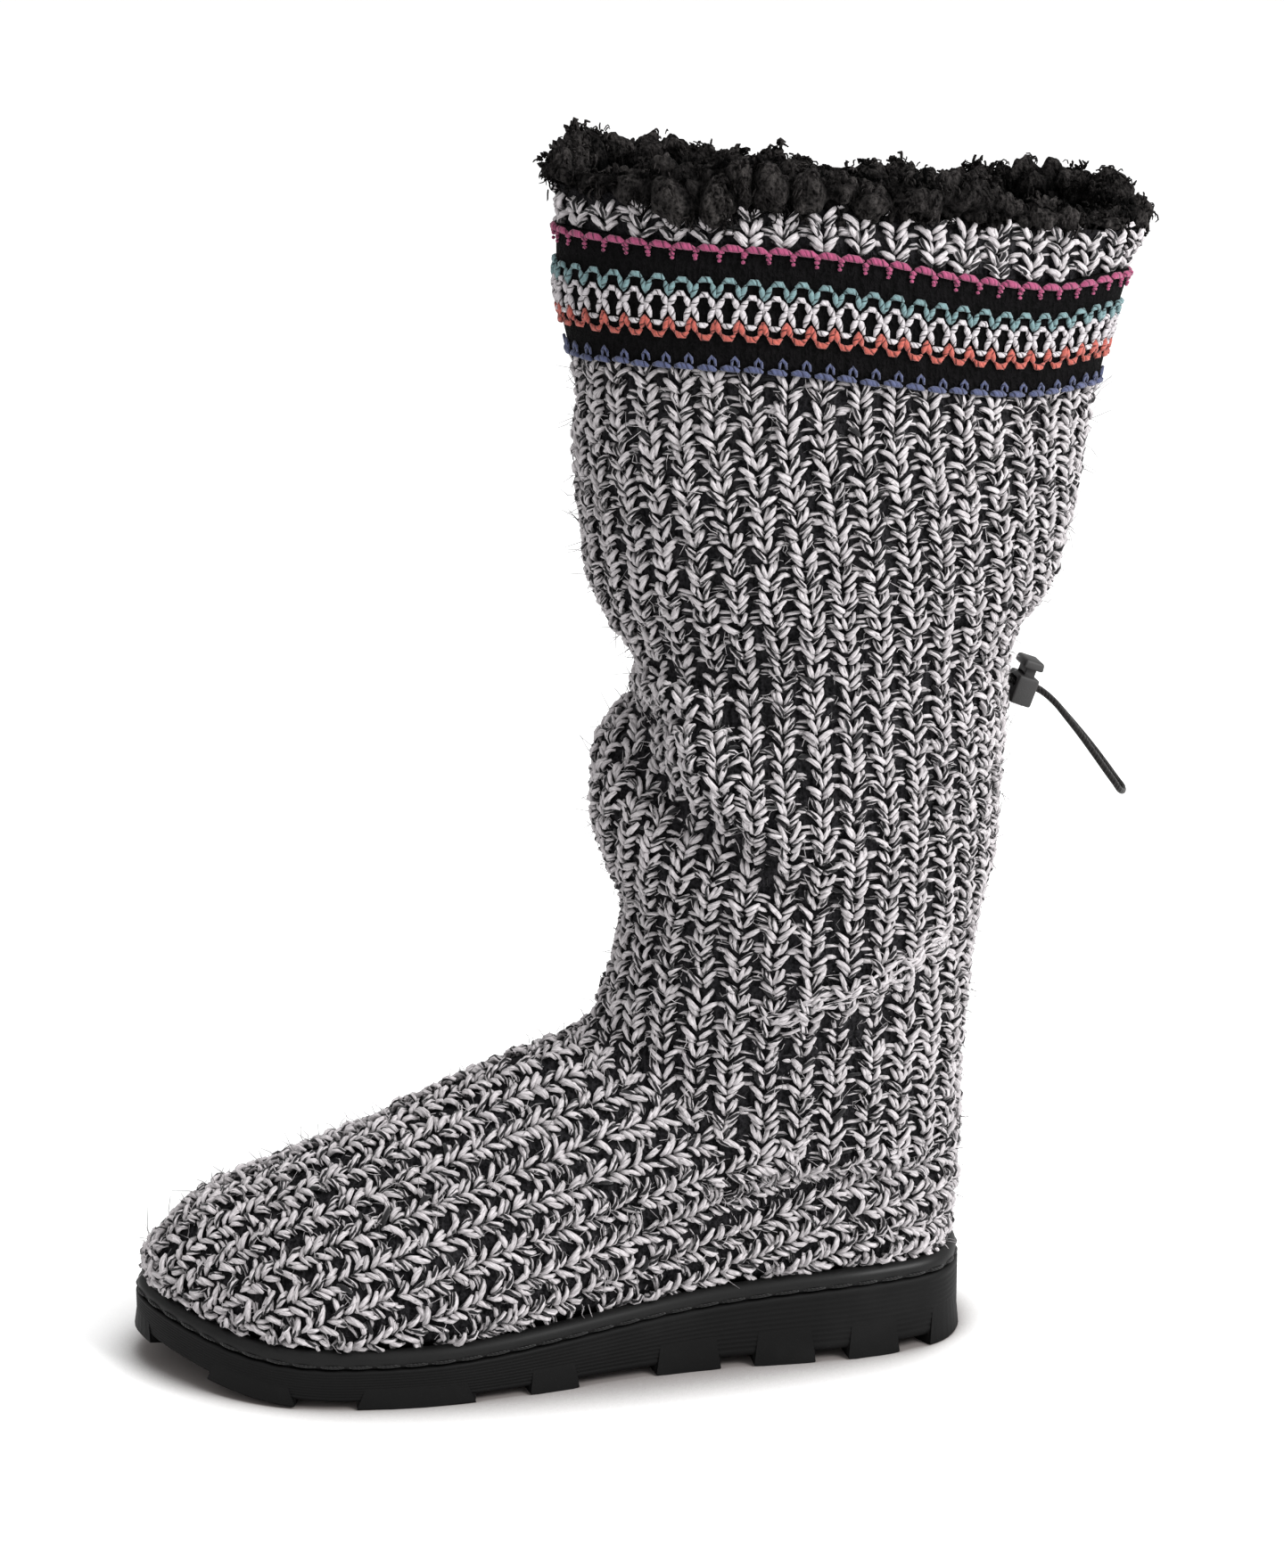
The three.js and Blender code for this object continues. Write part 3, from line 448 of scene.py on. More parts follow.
def strand_piece(name, batches, material, seed, dark_share=0.0):
    """One joined mesh of several batches of tubes; every strand starts somewhere else in its twist."""
    chance = np.random.default_rng(seed)
    points, faces, uvs, tones, start = [], ([], []), ([], []), [], 0
    for lines, radii, ups, sides, tone in batches:
        batch_points, batch_faces, per_strand = tubes(lines, radii, ups, sides)
        strands = len(lines)
        twist_start = chance.random((strands, 1, 1, 2)) * (40.0, 1.0)
        shade = np.full(strands, tone) if tone is not None else chance.uniform(0, 0.8, strands)
        if tone is None:
            shade[chance.random(strands) < dark_share] = 1.0
        points.append(batch_points)
        for n, (corners, uv) in enumerate(batch_faces):
            faces[n].extend((corners + start).reshape(-1, 4 - n).tolist())
            uvs[n].append((uv + twist_start).reshape(-1, 2))
        tones.append(np.repeat(shade, per_strand))
        start += len(batch_points)
    mesh = bpy.data.meshes.new(name)
    mesh.from_pydata(place(np.concatenate(points)), [], faces[0] + faces[1])
    mesh.uv_layers.new(name="strand").data.foreach_set("uv", np.concatenate(uvs[0] + uvs[1]).ravel())
    mesh.attributes.new("tone", "FLOAT", "POINT").data.foreach_set("value", np.concatenate(tones))
    mesh.shade_smooth()
    mesh.materials.append(material)
    print(name, "strands:", sum(len(b[0]) for b in batches), "triangles:", 2 * len(faces[0]) + len(faces[1]))
    return add_object(name, mesh)


def stand_for(piece, *nodes, body="boot"):
    """The piece rides on its body and stands for CAD nodes, which are hidden."""
    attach(piece, body)
    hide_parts(*nodes)
    return piece


print("strand helpers ready")

# %% [markdown]
# ## The drawcord
# A round elastic cord leaves the gathered waist at the back, goes through the cord lock and hangs down as
# a long loop that comes back into the shaft. The route repeats the CAD one: out, round the turn, back. The
# hanging part is twisted a little, so from the side one run of the loop lies nearly behind the other.

# %% Smooth lines through points
def hermite(t, start, leave, end, arrive):
    """A point at share t between two points that have their own directions."""
    return ((2 * t**3 - 3 * t**2 + 1) * start + (t**3 - 2 * t**2 + t) * leave
            + (3 * t**2 - 2 * t**3) * end + (t**3 - t**2) * arrive)


def smooth_line(points, closed=False, per_span=12):
    """A centripetal spline through the points, as many short steps."""
    points = np.asarray(points, float)
    if closed:
        padded = np.concatenate([points[-1:], points, points[:2]])
    else:
        padded = np.concatenate([2 * points[:1] - points[1:2], points, 2 * points[-1:] - points[-2:-1]])
    steps = np.sqrt(np.linalg.norm(np.diff(padded, axis=0), axis=1))[:, None]
    before, here, after = steps[:-2], steps[1:-1], steps[2:]
    p0, p1, p2, p3 = padded[:-3], padded[1:-2], padded[2:-1], padded[3:]
    leave = ((p1 - p0) / before - (p2 - p0) / (before + here) + (p2 - p1) / here) * here
    arrive = ((p2 - p1) / here - (p3 - p1) / (here + after) + (p3 - p2) / after) * here
    t = np.linspace(0, 1, per_span, endpoint=False)[None, :, None]
    p1, p2, leave, arrive = (x[:, None] for x in (p1, p2, leave, arrive))
    line = hermite(t, p1, leave, p2, arrive).reshape(-1, points.shape[1])
    return line if closed else np.concatenate([line, points[-1:]])


def run_of(line):
    """The way along a line, from 0."""
    return np.concatenate([[0], np.cumsum(np.linalg.norm(np.diff(line, axis=0), axis=1))])


def evenly(line, count):
    """count steps of equal length along a line."""
    way = run_of(line)
    return np.stack([np.interp(np.linspace(0, way[-1], count + 1), way, axis) for axis in line.T], -1)


print("line helpers ready")

# %% Cord route and cord
CORD_DIAMETER = 2.0
CORD_SPACING = 1.55
LOOP_RADIUS = 4.0
LOOP_TWIST, TWIST_WIDTH, LOOP_LAG = 0.85, 1.2, 0.31
HANG_LOW, HANG_HIGH = 180.0, 203.0
CORD_UP = np.array((0.8, 0.0, -0.6))
# forward, up and how many spacings to the side, from the shaft to the turn
CORD_ROUTE = np.array([
    (-12.5, 208.2, 1.0), (-17.2, 206.5, 1.0), (-22.3, 204.4, 1.05), (-27.0, 200.6, 1.3), (-31.8, 195.0, 1.65),
    (-36.5, 189.2, 2.0), (-41.0, 183.3, 2.3), (-45.3, 177.4, 2.5), (-48.2, 173.4, 2.58),
])
outward_run = np.column_stack([CORD_ROUTE[:, 0], CORD_SPACING * CORD_ROUTE[:, 2], CORD_ROUTE[:, 1]])
fall = unit(outward_run[-1] - outward_run[-2]) * (1, 0, 1)
loop_end = outward_run[-1] * (1, 0, 1)
turn_points = [
    loop_end + LOOP_RADIUS * (math.sin(angle) * fall + np.array((0, math.cos(angle), 0)))
    for angle in math.pi * np.array([0.25, 0.5, 0.75])
]
cord_points = np.concatenate([outward_run, turn_points, outward_run[::-1] * (1, -1, 1)])
hang = np.interp(cord_points[:, 2], (HANG_LOW, HANG_HIGH), (1, 0))
aside = cord_points[:, 1].copy()
cord_points += (LOOP_TWIST * np.tanh(aside / TWIST_WIDTH) * hang)[:, None] * np.cross(fall, (0, 1, 0))
cord_points -= (LOOP_LAG * aside * hang)[:, None] * fall
cord_line = evenly(smooth_line(cord_points), 110)
cord_up = np.broadcast_to(CORD_UP, cord_line.shape)
drawcord = strand_piece(
    "drawcord_elastic", [(cord_line[None], CORD_DIAMETER / 2, cord_up[None], 12, 0.0)], elastic, 3)
stand_for(drawcord, "drawcord")

# %% [markdown]
# ## The skin of the boot
# The knit follows one smooth skin, measured ring by ring like a shoemaker's last and a loose sock above it.
# The rings are the same ones as in the CAD model, at finer steps. The main creases of the slack
# shaft are laid on one by one: each is a soft ridge or trough with a place, a tilt, a length and a width.

# %% The sole's outline and the rings
SOLE_OUTLINE = np.array([
    (0.003, 0.0), (0.035, 0.262), (0.13, 0.367), (0.36, 0.388), (0.67, 0.517), (0.845, 0.44), (0.945, 0.2),
    (1.0, -0.1), (0.95, -0.35), (0.73, -0.48), (0.42, -0.33), (0.13, -0.36), (0.035, -0.255),
]) * (SOLE_LENGTH, BALL_WIDTH)
TOE_TIP = 7
OUTLINE_STEPS = 48
HALF_ROUND = 120
AROUND = 2 * HALF_ROUND

outline_line = smooth_line(SOLE_OUTLINE, closed=True, per_span=OUTLINE_STEPS)
outline_line = np.concatenate([outline_line, outline_line[:1]])
outer_half = evenly(outline_line[: TOE_TIP * OUTLINE_STEPS + 1], HALF_ROUND)
inner_half = evenly(outline_line[TOE_TIP * OUTLINE_STEPS :], HALF_ROUND)
OUTLINE = np.concatenate([outer_half[:-1], inner_half[:-1]])


def outward_of(loop):
    """Level outward directions of a closed loop."""
    way = np.roll(loop, -1, axis=0) - np.roll(loop, 1, axis=0)
    return unit(np.column_stack([-way[:, 1], way[:, 0]]))


def inset_outline(inset):
    return OUTLINE - outward_of(OUTLINE) * inset


def smooth_step(x, low, high):
    share = np.clip((np.asarray(x, float) - low) / (high - low), 0, 1)
    return share * share * (3 - 2 * share)


TOE_SPRING, SPRING_FROM, SPRING_LONG = 9.0, 0.78 * SOLE_LENGTH, 0.22 * SOLE_LENGTH
SLOPE_FROM, SLOPE_TO = 0.12 * SOLE_LENGTH, 0.72 * SOLE_LENGTH
HEEL_THICKNESS, SOLE_DROP = 23.5, 11.2


def floor_line(x):
    """Height of the sole's underside: flat, with the toe sprung up."""
    return TOE_SPRING * np.clip((np.asarray(x, float) - SPRING_FROM) / SPRING_LONG, 0, 1) ** 2


def sole_top(x):
    """Height of the sole's upper edge, which drops from the heel to the ball."""
    return floor_line(x) + HEEL_THICKNESS - SOLE_DROP * smooth_step(x, SLOPE_FROM, SLOPE_TO)


print("outline girth", round(run_of(np.vstack([OUTLINE, OUTLINE[:1]]))[-1], 1), "mm")

# %% Rings from the sole to the collar
# back, front (shares of the sole's length), back and front height (shares of the collar's height), bend,
# hug (how far the ring follows the sole), inset in millimetres, half width (share of the ball's width), egg
FOOT_RINGS = [
    (0.0241, 0.9785, 0.001, 0.001, 1, 1, 5.6, 0.46, 0),
    (0.0234, 0.9793, 0.0154, 0.0154, 1, 1, 5.4, 0.46, 0),
    (0.01, 0.9916, 0.0261, 0.0261, 1, 1, 2.6, 0.46, 0),
    (0.0054, 0.987, 0.044, 0.0445, 1, 0.95, 1.7, 0.46, 0.04),
    (0.0031, 0.9693, 0.0673, 0.0687, 1, 0.85, 1.8, 0.46, 0.1),
    (0.0008, 0.9272, 0.1044, 0.1154, 1.4, 0.6, 4.5, 0.457, 0.3),
    (0.0, 0.8506, 0.1319, 0.1555, 2, 0.35, 6, 0.432, 0.6),
    (-0.0015, 0.7452, 0.1511, 0.1934, 2.2, 0.15, 8, 0.41, 0.85),
    (-0.0023, 0.6552, 0.1607, 0.2275, 2.5, 0.05, 8, 0.402, 1),
    (-0.0023, 0.5632, 0.1676, 0.2571, 2.8, 0, 8, 0.4, 1),
    (-0.0019, 0.4839, 0.1717, 0.2775, 3, 0, 8, 0.4, 1),
]
# back, front, back and front height, bend, half width
SHAFT_RINGS = [
    (0.0008, 0.4406, 0.2335, 0.3159, 1.8, 0.418),
    (-0.0057, 0.4234, 0.3022, 0.3571, 1.2, 0.44),
    (-0.0161, 0.4176, 0.3681, 0.3929, 1, 0.467),
    (-0.0307, 0.4406, 0.4176, 0.4341, 1, 0.5),
    (-0.0375, 0.4571, 0.4725, 0.4835, 1, 0.522),
    (-0.0414, 0.4529, 0.522, 0.5275, 1, 0.511),
    (-0.0452, 0.4119, 0.5632, 0.5687, 1, 0.478),
    (-0.0452, 0.4004, 0.5934, 0.6044, 1, 0.435),
    (-0.0575, 0.4272, 0.6209, 0.6346, 1, 0.467),
    (-0.09, 0.4521, 0.6538, 0.6676, 1, 0.511),
    (-0.113, 0.4636, 0.7033, 0.7198, 1, 0.533),
    (-0.1284, 0.472, 0.7637, 0.783, 0.9, 0.53),
    (-0.136, 0.4682, 0.799, 0.8324, 0.75, 0.515),
    (-0.1418, 0.4743, 0.8242, 0.8654, 0.65, 0.503),
    (-0.1563, 0.4877, 0.8709, 0.9121, 0.6, 0.486),
    (-0.1747, 0.4889, 0.9176, 0.9615, 0.55, 0.473),
    (-0.1839, 0.4943, 0.9533, 1, 0.55, 0.462),
]
ANKLE_SEAM, HOLLOW, PINCH, BAND_LOW, BAND_HIGH, COLLAR = 10, 13, 18, 24, 26, 27


def ring_points(back, front, back_up, front_up, bend, hug, inset, half, egg):
    """One ring of the skin, from the back of the heel round the outer side to the front and back again."""
    back, front, half = back * SOLE_LENGTH, front * SOLE_LENGTH, half * BALL_WIDTH
    angle = np.linspace(0, math.pi, 361)
    arc = np.column_stack([back + (front - back) * (1 - np.cos(angle)) / 2, half * np.sin(angle)])
    outer = evenly(arc, HALF_ROUND)[:-1]
    inner = evenly(arc[::-1] * (1, -1), HALF_ROUND)[:-1]
    oval = np.concatenate([outer, inner])
    last = inset_outline(inset)
    last[:, 0] = back + (last[:, 0] - inset) * (front - back) / (SOLE_LENGTH - 2 * inset)
    loop = last + (oval - last) * egg
    share = np.clip((loop[:, 0] - back) / (front - back), 0, 1)
    eased = share**bend if bend >= 1 else 1 - (1 - share) ** (1 / bend)
    height = (back_up + (front_up - back_up) * eased) * COLLAR_HEIGHT + hug * sole_top(loop[:, 0])
    return np.column_stack([loop, height])


rings = np.array([ring_points(*row) for row in FOOT_RINGS]
                 + [ring_points(*row[:5], 0, 0, row[5], 1) for row in SHAFT_RINGS])
print("rings:", rings.shape)

# %% A fine grid through the rings
ROWS_PER_RING = 8
ring_steps = np.linalg.norm(np.diff(rings, axis=0), axis=2).mean(axis=1)
ring_way = np.concatenate([[0], np.cumsum(ring_steps)])
slopes = np.gradient(rings, ring_way, axis=0)
rows = []
for n, step in enumerate(ring_steps):
    for t in np.arange(ROWS_PER_RING) / ROWS_PER_RING:
        rows.append(hermite(t, rings[n], step * slopes[n], rings[n + 1], step * slopes[n + 1]))
skin = np.array(rows + [rings[-1]])


def skin_normals(grid):
    """Outward normals of the grid, by differences along and around it."""
    along = np.gradient(grid, axis=0)
    around = np.roll(grid, -1, axis=1) - np.roll(grid, 1, axis=1)
    return unit(np.cross(along, around))


normals = skin_normals(skin)
print("skin grid:", skin.shape)

# %% Creases of the slack shaft
# turn (share of the way round from the heel), height (share of the collar's), tilt in degrees, length, width
# and depth in millimetres; a ridge stands out, a trough goes in
CREASES = [
    (0.385, 0.496, 37, 44, 9, -6.5), (0.355, 0.53, 37, 42, 9, 4.5),
    (0.43, 0.535, 42, 18, 10, -5.0), (0.4, 0.58, 42, 18, 9, 2.5),
    (0.45, 0.5665, 0, 36, 3.0, -3.4), (0.45, 0.58, 0, 36, 5, 2.8), (0.45, 0.5535, 0, 36, 4, 1.6),
    (0.215, 0.341, -23, 30, 6.5, 4.5), (0.2, 0.3, -23, 32, 7, -3.0),
    (0.64, 0.45, -26, 48, 10, -5), (0.84, 0.36, 30, 42, 11, 3),
]
# how far the skin swells beside the waist, at the back under the collar and over the welt, and how wide
WAIST_SWELL, WAIST_TALL = 2.6, 9
NAPE_SWELL, NAPE_UP, NAPE_TALL, NAPE_TURN = 4.4, 350, 9, 0.07
WELT_SWELL, WELT_SWELL_RING, WELT_SWELL_TALL = 1.9, 1.3, 0.55
girth = np.linalg.norm(np.roll(skin, -1, axis=1) - skin, axis=2).sum(axis=1)[:, None]
turns = np.arange(AROUND)[None, :] / AROUND
push = np.zeros(skin.shape[:2])
for turn, up, tilt, length, width, depth in CREASES:
    level = (turns - turn) * girth
    rise = skin[:, :, 2] - up * COLLAR_HEIGHT
    tilt = math.radians(tilt)
    lengthwise = (level * math.cos(tilt) + rise * math.sin(tilt)) / length
    crosswise = (rise * math.cos(tilt) - level * math.sin(tilt)) / width
    push += depth * np.exp(-(lengthwise**2) - crosswise**2)
from_pinch = skin[:, :, 2] - skin[PINCH * ROWS_PER_RING, :, 2]
push += WAIST_SWELL * np.sin(2 * math.pi * turns) ** 2 * np.exp(-((from_pinch / WAIST_TALL) ** 2))
from_heel = np.minimum(turns, 1 - turns)
push += NAPE_SWELL * np.exp(-(((skin[:, :, 2] - NAPE_UP) / NAPE_TALL) ** 2) - (from_heel / NAPE_TURN) ** 2)
from_welt = np.arange(len(skin))[:, None] / ROWS_PER_RING - WELT_SWELL_RING
push += WELT_SWELL * np.exp(-((from_welt / WELT_SWELL_TALL) ** 2))
skin = skin + push[:, :, None] * normals
normals = skin_normals(skin)


def on_skin(ring, turn, out=0.0):
    """Points and normals of the skin at ring numbers and turns, out millimetres proud of it."""
    row = np.clip(np.asarray(ring, float) * ROWS_PER_RING, 0, len(skin) - 1.001)
    column = (np.asarray(turn, float) % 1.0) * AROUND
    r, c = np.floor(row).astype(int), np.floor(column).astype(int) % AROUND
    fr, fc = (row - r)[..., None], (column - np.floor(column))[..., None]
    c2 = (c + 1) % AROUND

    def mixed(grid):
        return ((grid[r, c] * (1 - fc) + grid[r, c2] * fc) * (1 - fr)
                + (grid[r + 1, c] * (1 - fc) + grid[r + 1, c2] * fc) * fr)

    facing = unit(mixed(normals))
    return mixed(skin) + np.asarray(out, float)[..., None] * facing, facing


print("creases move the skin by", round(push.min(), 1), "to", round(push.max(), 1), "mm")

# %% How close the skin lies to the CAD solids
def gap_to(node, points):
    """Distances from points to a CAD node, in millimetres."""
    mesh = bpy.data.objects[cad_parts[node].name].data
    tree = BVHTree.FromPolygons([v.co for v in mesh.vertices], [p.vertices for p in mesh.polygons])
    return np.array([tree.find_nearest(Vector(p))[3] for p in place(points)]) / MM


shaft_gap = gap_to("shaft", skin[12 * ROWS_PER_RING : BAND_LOW * ROWS_PER_RING : 4, ::6].reshape(-1, 3))
foot_gap = gap_to("upper", skin[3 * ROWS_PER_RING : ANKLE_SEAM * ROWS_PER_RING : 4, ::6].reshape(-1, 3))
print("skin to shaft: mean", shaft_gap.mean().round(2), "most", shaft_gap.max().round(2))
print("skin to upper: mean", foot_gap.mean().round(2), "most", foot_gap.max().round(2))

# %% [markdown]
# ## The rib stitches
# The knit is a chunky tucked rib: every column is a stack of V stitches, a wide one and a narrow one by
# turns. The tops of the wide ones reach over to the next column as rungs, and between the rungs the dark
# recess shows. At this size a bump map would look printed on, so each leg of each stitch is a short fat
# tube of marled yarn.

# %% One stitch, and stitches along columns
COURSE = 3.95
ANKLE_COURSE = 4.4
RIB_PITCH = 10.3
STITCH_SINK = -1.6
# across, up the column, out and radius, in millimetres, for the right-hand leg; two strands make one leg
WIDE_STRANDS = [np.array(strand) for strand in (
    [(0.3, -0.9, -0.9, 0.5), (0.95, 0.1, 0.7, 0.74), (2.05, 1.2, 0.85, 0.76), (3.2, 1.95, -0.5, 0.55)],
    [(0.3, 0.5, -0.7, 0.5), (1.0, 1.55, 0.85, 0.78), (2.2, 2.65, 0.95, 0.84), (3.2, 3.4, 0.3, 0.76),
     (4.0, 3.7, -1.0, 0.55)],
)]
NARROW_STRANDS = [np.array(strand) for strand in (
    [(0.25, -1.2, -0.8, 0.5), (0.75, 0.3, 0.7, 0.78), (1.35, 1.75, 0.85, 0.8), (1.75, 3.0, -0.5, 0.6)],
    [(0.6, -0.2, -0.6, 0.5), (1.6, 1.1, 0.75, 0.78), (2.4, 2.45, 0.85, 0.82), (2.9, 3.8, -0.6, 0.6)],
)]
# between two columns: the light rung at a wide stitch, and two thin bars deeper in the recess
RUNG = np.array([
    (3.5, 3.5, -1.0, 0.45), (4.6, 3.9, -0.25, 0.8), (5.7, 3.9, -0.25, 0.8), (6.8, 3.5, -1.0, 0.45),
])
LOW_BAR = np.array([
    (3.0, 0.3, -1.4, 0.5), (4.4, 0.7, -0.9, 0.6), (5.9, 0.7, -0.9, 0.6), (7.3, 0.3, -1.4, 0.5),
])
HIGH_BAR = LOW_BAR + (0, 1.7, 0, 0)
# how unlike one another the stitches are: in place (in millimetres), size and slant
SHAKE, SIZE_SPREAD, LEAN_SPREAD = 0.26, 0.09, 0.1


class Stitches:
    """Where stitches sit, which way they face, their scales, and whether they are wide and linked across."""

    def __init__(self):
        self.rows = []

    def add(self, base, along, out, width, length, wide, linked):
        across = unit(np.cross(along, out))
        self.rows.append((base, across, np.cross(out, across), out, width, length, wide, linked))

    def stacked(self):
        return [np.concatenate(column) for column in zip(*self.rows)]


def stitch_lines(leg, side, where, chance, loose, thick):
    """Centre lines of one leg of every stitch."""
    base, across, along, out, width, length = where
    shake = chance.normal(0, SHAKE * loose, (len(base), 1, 3))
    size = chance.normal(1, SIZE_SPREAD * loose, (len(base), 1, 1))
    lean = chance.normal(0, LEAN_SPREAD * loose, (len(base), 1, 1))
    a = (side * leg[:, 0] * width[:, None])[:, :, None] * size
    b = (leg[:, 1] * length[:, None])[:, :, None] + lean * a
    c = (leg[:, 2] + STITCH_SINK)[None, :, None]
    lines = base[:, None] + a * across[:, None] + b * along[:, None] + c * out[:, None] + shake
    return lines, thick * leg[:, 3] * np.sqrt(size[:, :, 0]), np.broadcast_to(out[:, None], lines.shape)


def knit_piece(name, stitches, seed, loose=1.2, thick=1.0, dark_share=0.025):
    """All stitches of one part: the legs of the wide and the narrow ones, the rungs and the recessed bars."""
    chance = np.random.default_rng(seed)
    *where, wide, linked = stitches.stacked()
    batches = []
    for strands, chosen in ((WIDE_STRANDS, wide), (NARROW_STRANDS, ~wide)):
        picked = [column[chosen] for column in where]
        for side in (1, -1):
            for strand in strands:
                batches.append((*stitch_lines(strand, side, picked, chance, loose, thick), 5, None))
    rungs, bars = [column[wide & linked] for column in where], [column[~wide & linked] for column in where]
    batches.append((*stitch_lines(RUNG, 1, rungs, chance, loose, thick), 4, None))
    bar_tones = chance.choice((0.4, 1.0), len(bars[0]))
    batches.append((*stitch_lines(LOW_BAR, 1, bars, chance, loose, thick), 4, bar_tones))
    batches.append((*stitch_lines(HIGH_BAR, 1, bars, chance, loose, thick), 4, None))
    return strand_piece(name, batches, marled, seed, dark_share)


print("a stitch is", COURSE, "mm tall on a", RIB_PITCH, "mm rib")

# %% Columns of the shaft
# The rib that faces the camera stays upright: this is its place, height by height, on the outer side.
LEAD_RIB_UP = np.array([62.0, 73.7, 161.5, 226.8, 293.0, 344.6, 366.0])
LEAD_RIB_X = np.array([49.5, 49.0, 44.8, 47.5, 56.6, 56.6, 56.6])
first_row, last_row = ANKLE_SEAM * ROWS_PER_RING, COLLAR * ROWS_PER_RING
lead_turn, round_run = [], []
for loop in skin[first_row : last_row + 1]:
    half = loop[: HALF_ROUND + 1]
    ahead = half[:, 0] - np.interp(half[:, 2], LEAD_RIB_UP, LEAD_RIB_X)
    lead_turn.append(np.interp(0, ahead, np.arange(HALF_ROUND + 1) / AROUND))
    round_run.append(run_of(np.vstack([loop, loop[:1]])))
lead_turn, round_run = np.array(lead_turn), np.array(round_run)
shaft_girth = round_run[:, -1]
# a rib wanders sideways as it climbs: by how much, how slowly, and how far out of step with the next rib
WANDER, WANDER_ROWS, WANDER_SHIFT = 0.45, 5.3, 2.3
# the share of a pitch that the last rib of each half keeps clear of the rib that closes the knit
CLOSING_GAP = 0.2
shaft_pitch = np.interp(np.arange(first_row, last_row + 1) / ROWS_PER_RING,
                        (10, 12, 14, 16, 18, 20, 27), (11.6, 11.6, 11.0, 10.4, 10.1, 10.7, 10.9))


def shaft_column(k):
    """Turns of rib k on every row from the ankle seam to the collar, and where it is inside its half.

    Rib None is the one that closes the knit on the inner side, opposite the lead rib.
    """
    ticks = np.arange(AROUND + 1) / AROUND
    found = []
    for row, (start, run) in enumerate(zip(lead_turn, round_run)):
        if k is None:
            away = run[-1] / 2
        else:
            away = k * shaft_pitch[row] + WANDER * math.sin(row / WANDER_ROWS + WANDER_SHIFT * k)
        way = np.interp(start, ticks, run) + away
        laps = np.floor(way / run[-1])
        found.append(laps + np.interp(way - laps * run[-1], run, ticks))
    if k is None:
        return np.array(found), np.ones(len(found), bool)
    return np.array(found), np.abs(k) * shaft_pitch < shaft_girth / 2 - CLOSING_GAP * shaft_pitch


# how far before and behind a stitch the direction of its column is measured, in millimetres
LOOK_AHEAD = 1.5


def column_stitches(stitches, ring_numbers, column_turns, inside, stations, pitch, first_course=0, flip=False,
                    end_free=0.0):
    """Adds the stitches of one column at the given ways along it; none is linked across near a free end."""
    way = run_of(on_skin(ring_numbers, column_turns)[0])

    def spot(stations):
        return on_skin(np.interp(stations, way, ring_numbers), np.interp(stations, way, column_turns))

    keep = np.interp(stations, way, inside.astype(float)) > 0.99
    base, out = spot(stations)
    ahead = spot(np.clip(stations + LOOK_AHEAD, way[0], way[-1]))[0]
    behind = spot(np.clip(stations - LOOK_AHEAD, way[0], way[-1]))[0]
    along = unit(ahead - behind) * (-1 if flip else 1)
    width = np.interp(stations, way, pitch) / RIB_PITCH
    length = np.full(len(stations), abs(stations[1] - stations[0]) / COURSE)
    wide = (np.arange(len(stations)) + first_course) % 2 == 0
    if keep.any():
        linked = stations < way[-1] - end_free
        stitches.add(base[keep], along[keep], out[keep], width[keep], length[keep], wide[keep], linked[keep])


ring_numbers = np.arange(first_row, last_row + 1) / ROWS_PER_RING
low_part = ring_numbers <= HOLLOW
middle_part = (ring_numbers >= HOLLOW) & (ring_numbers <= PINCH)
lead_high_part = (ring_numbers >= PINCH) & (ring_numbers <= BAND_LOW)
rib_count = int(shaft_girth.max() / shaft_pitch.min() / 2) + 2
print("shaft girth", shaft_girth.min().round(), "to", shaft_girth.max().round(), "mm")

# %% How the band sags
# by turn: how many millimetres the band's top and bottom edge hang lower than its rings; below 0, higher
SAG_TURNS = (0, 0.03, 0.05, 0.067, 0.083, 0.1, 0.117, 0.15, 0.2, 0.235, 0.267, 0.3, 0.383, 0.45, 0.5, 0.65,
             0.9, 1)
TOP_SAG = (-0.8, -1, -0.9, 0.3, 1.6, 3, 3.6, 3.5, 2, 0.1, -1.2, -1.9, -1.7, -2.4, -2.6, 0, 0, -0.8)
LOW_SAG = (-3, -3.6, -3.6, -3.3, -2.6, -1.6, -0.8, -0.6, -1.2, -2.1, -2.7, -3.3, -2.5, -1.5, -0.6, 0, 0, -3)
RING_TALL = 18.5


def band_sag(turn, down):
    """Rings to go down at a turn, at a share of the way down the band."""
    top, low = (np.interp(np.asarray(turn) % 1.0, SAG_TURNS, edge) for edge in (TOP_SAG, LOW_SAG))
    return (top + (low - top) * down) / RING_TALL


print("the band hangs", max(TOP_SAG), "mm down at most")

# %% Knit the shaft
def length_of(part, column_turns):
    """How long a column is within a part of the shaft."""
    return run_of(on_skin(ring_numbers[part], column_turns[part])[0])[-1]


def courses_between(part):
    """How many courses fit on the lead rib, as an even number."""
    return 2 * round(length_of(part, lead_turn) / COURSE / 2)


def knit(stitches, column, part, stations, widen=1.0, first_course=0):
    """Adds a column's stitches within a part of the shaft."""
    column_turns, inside = column
    column_stitches(stitches, ring_numbers[part], column_turns[part], inside[part], stations,
                    widen * shaft_pitch[part], first_course)


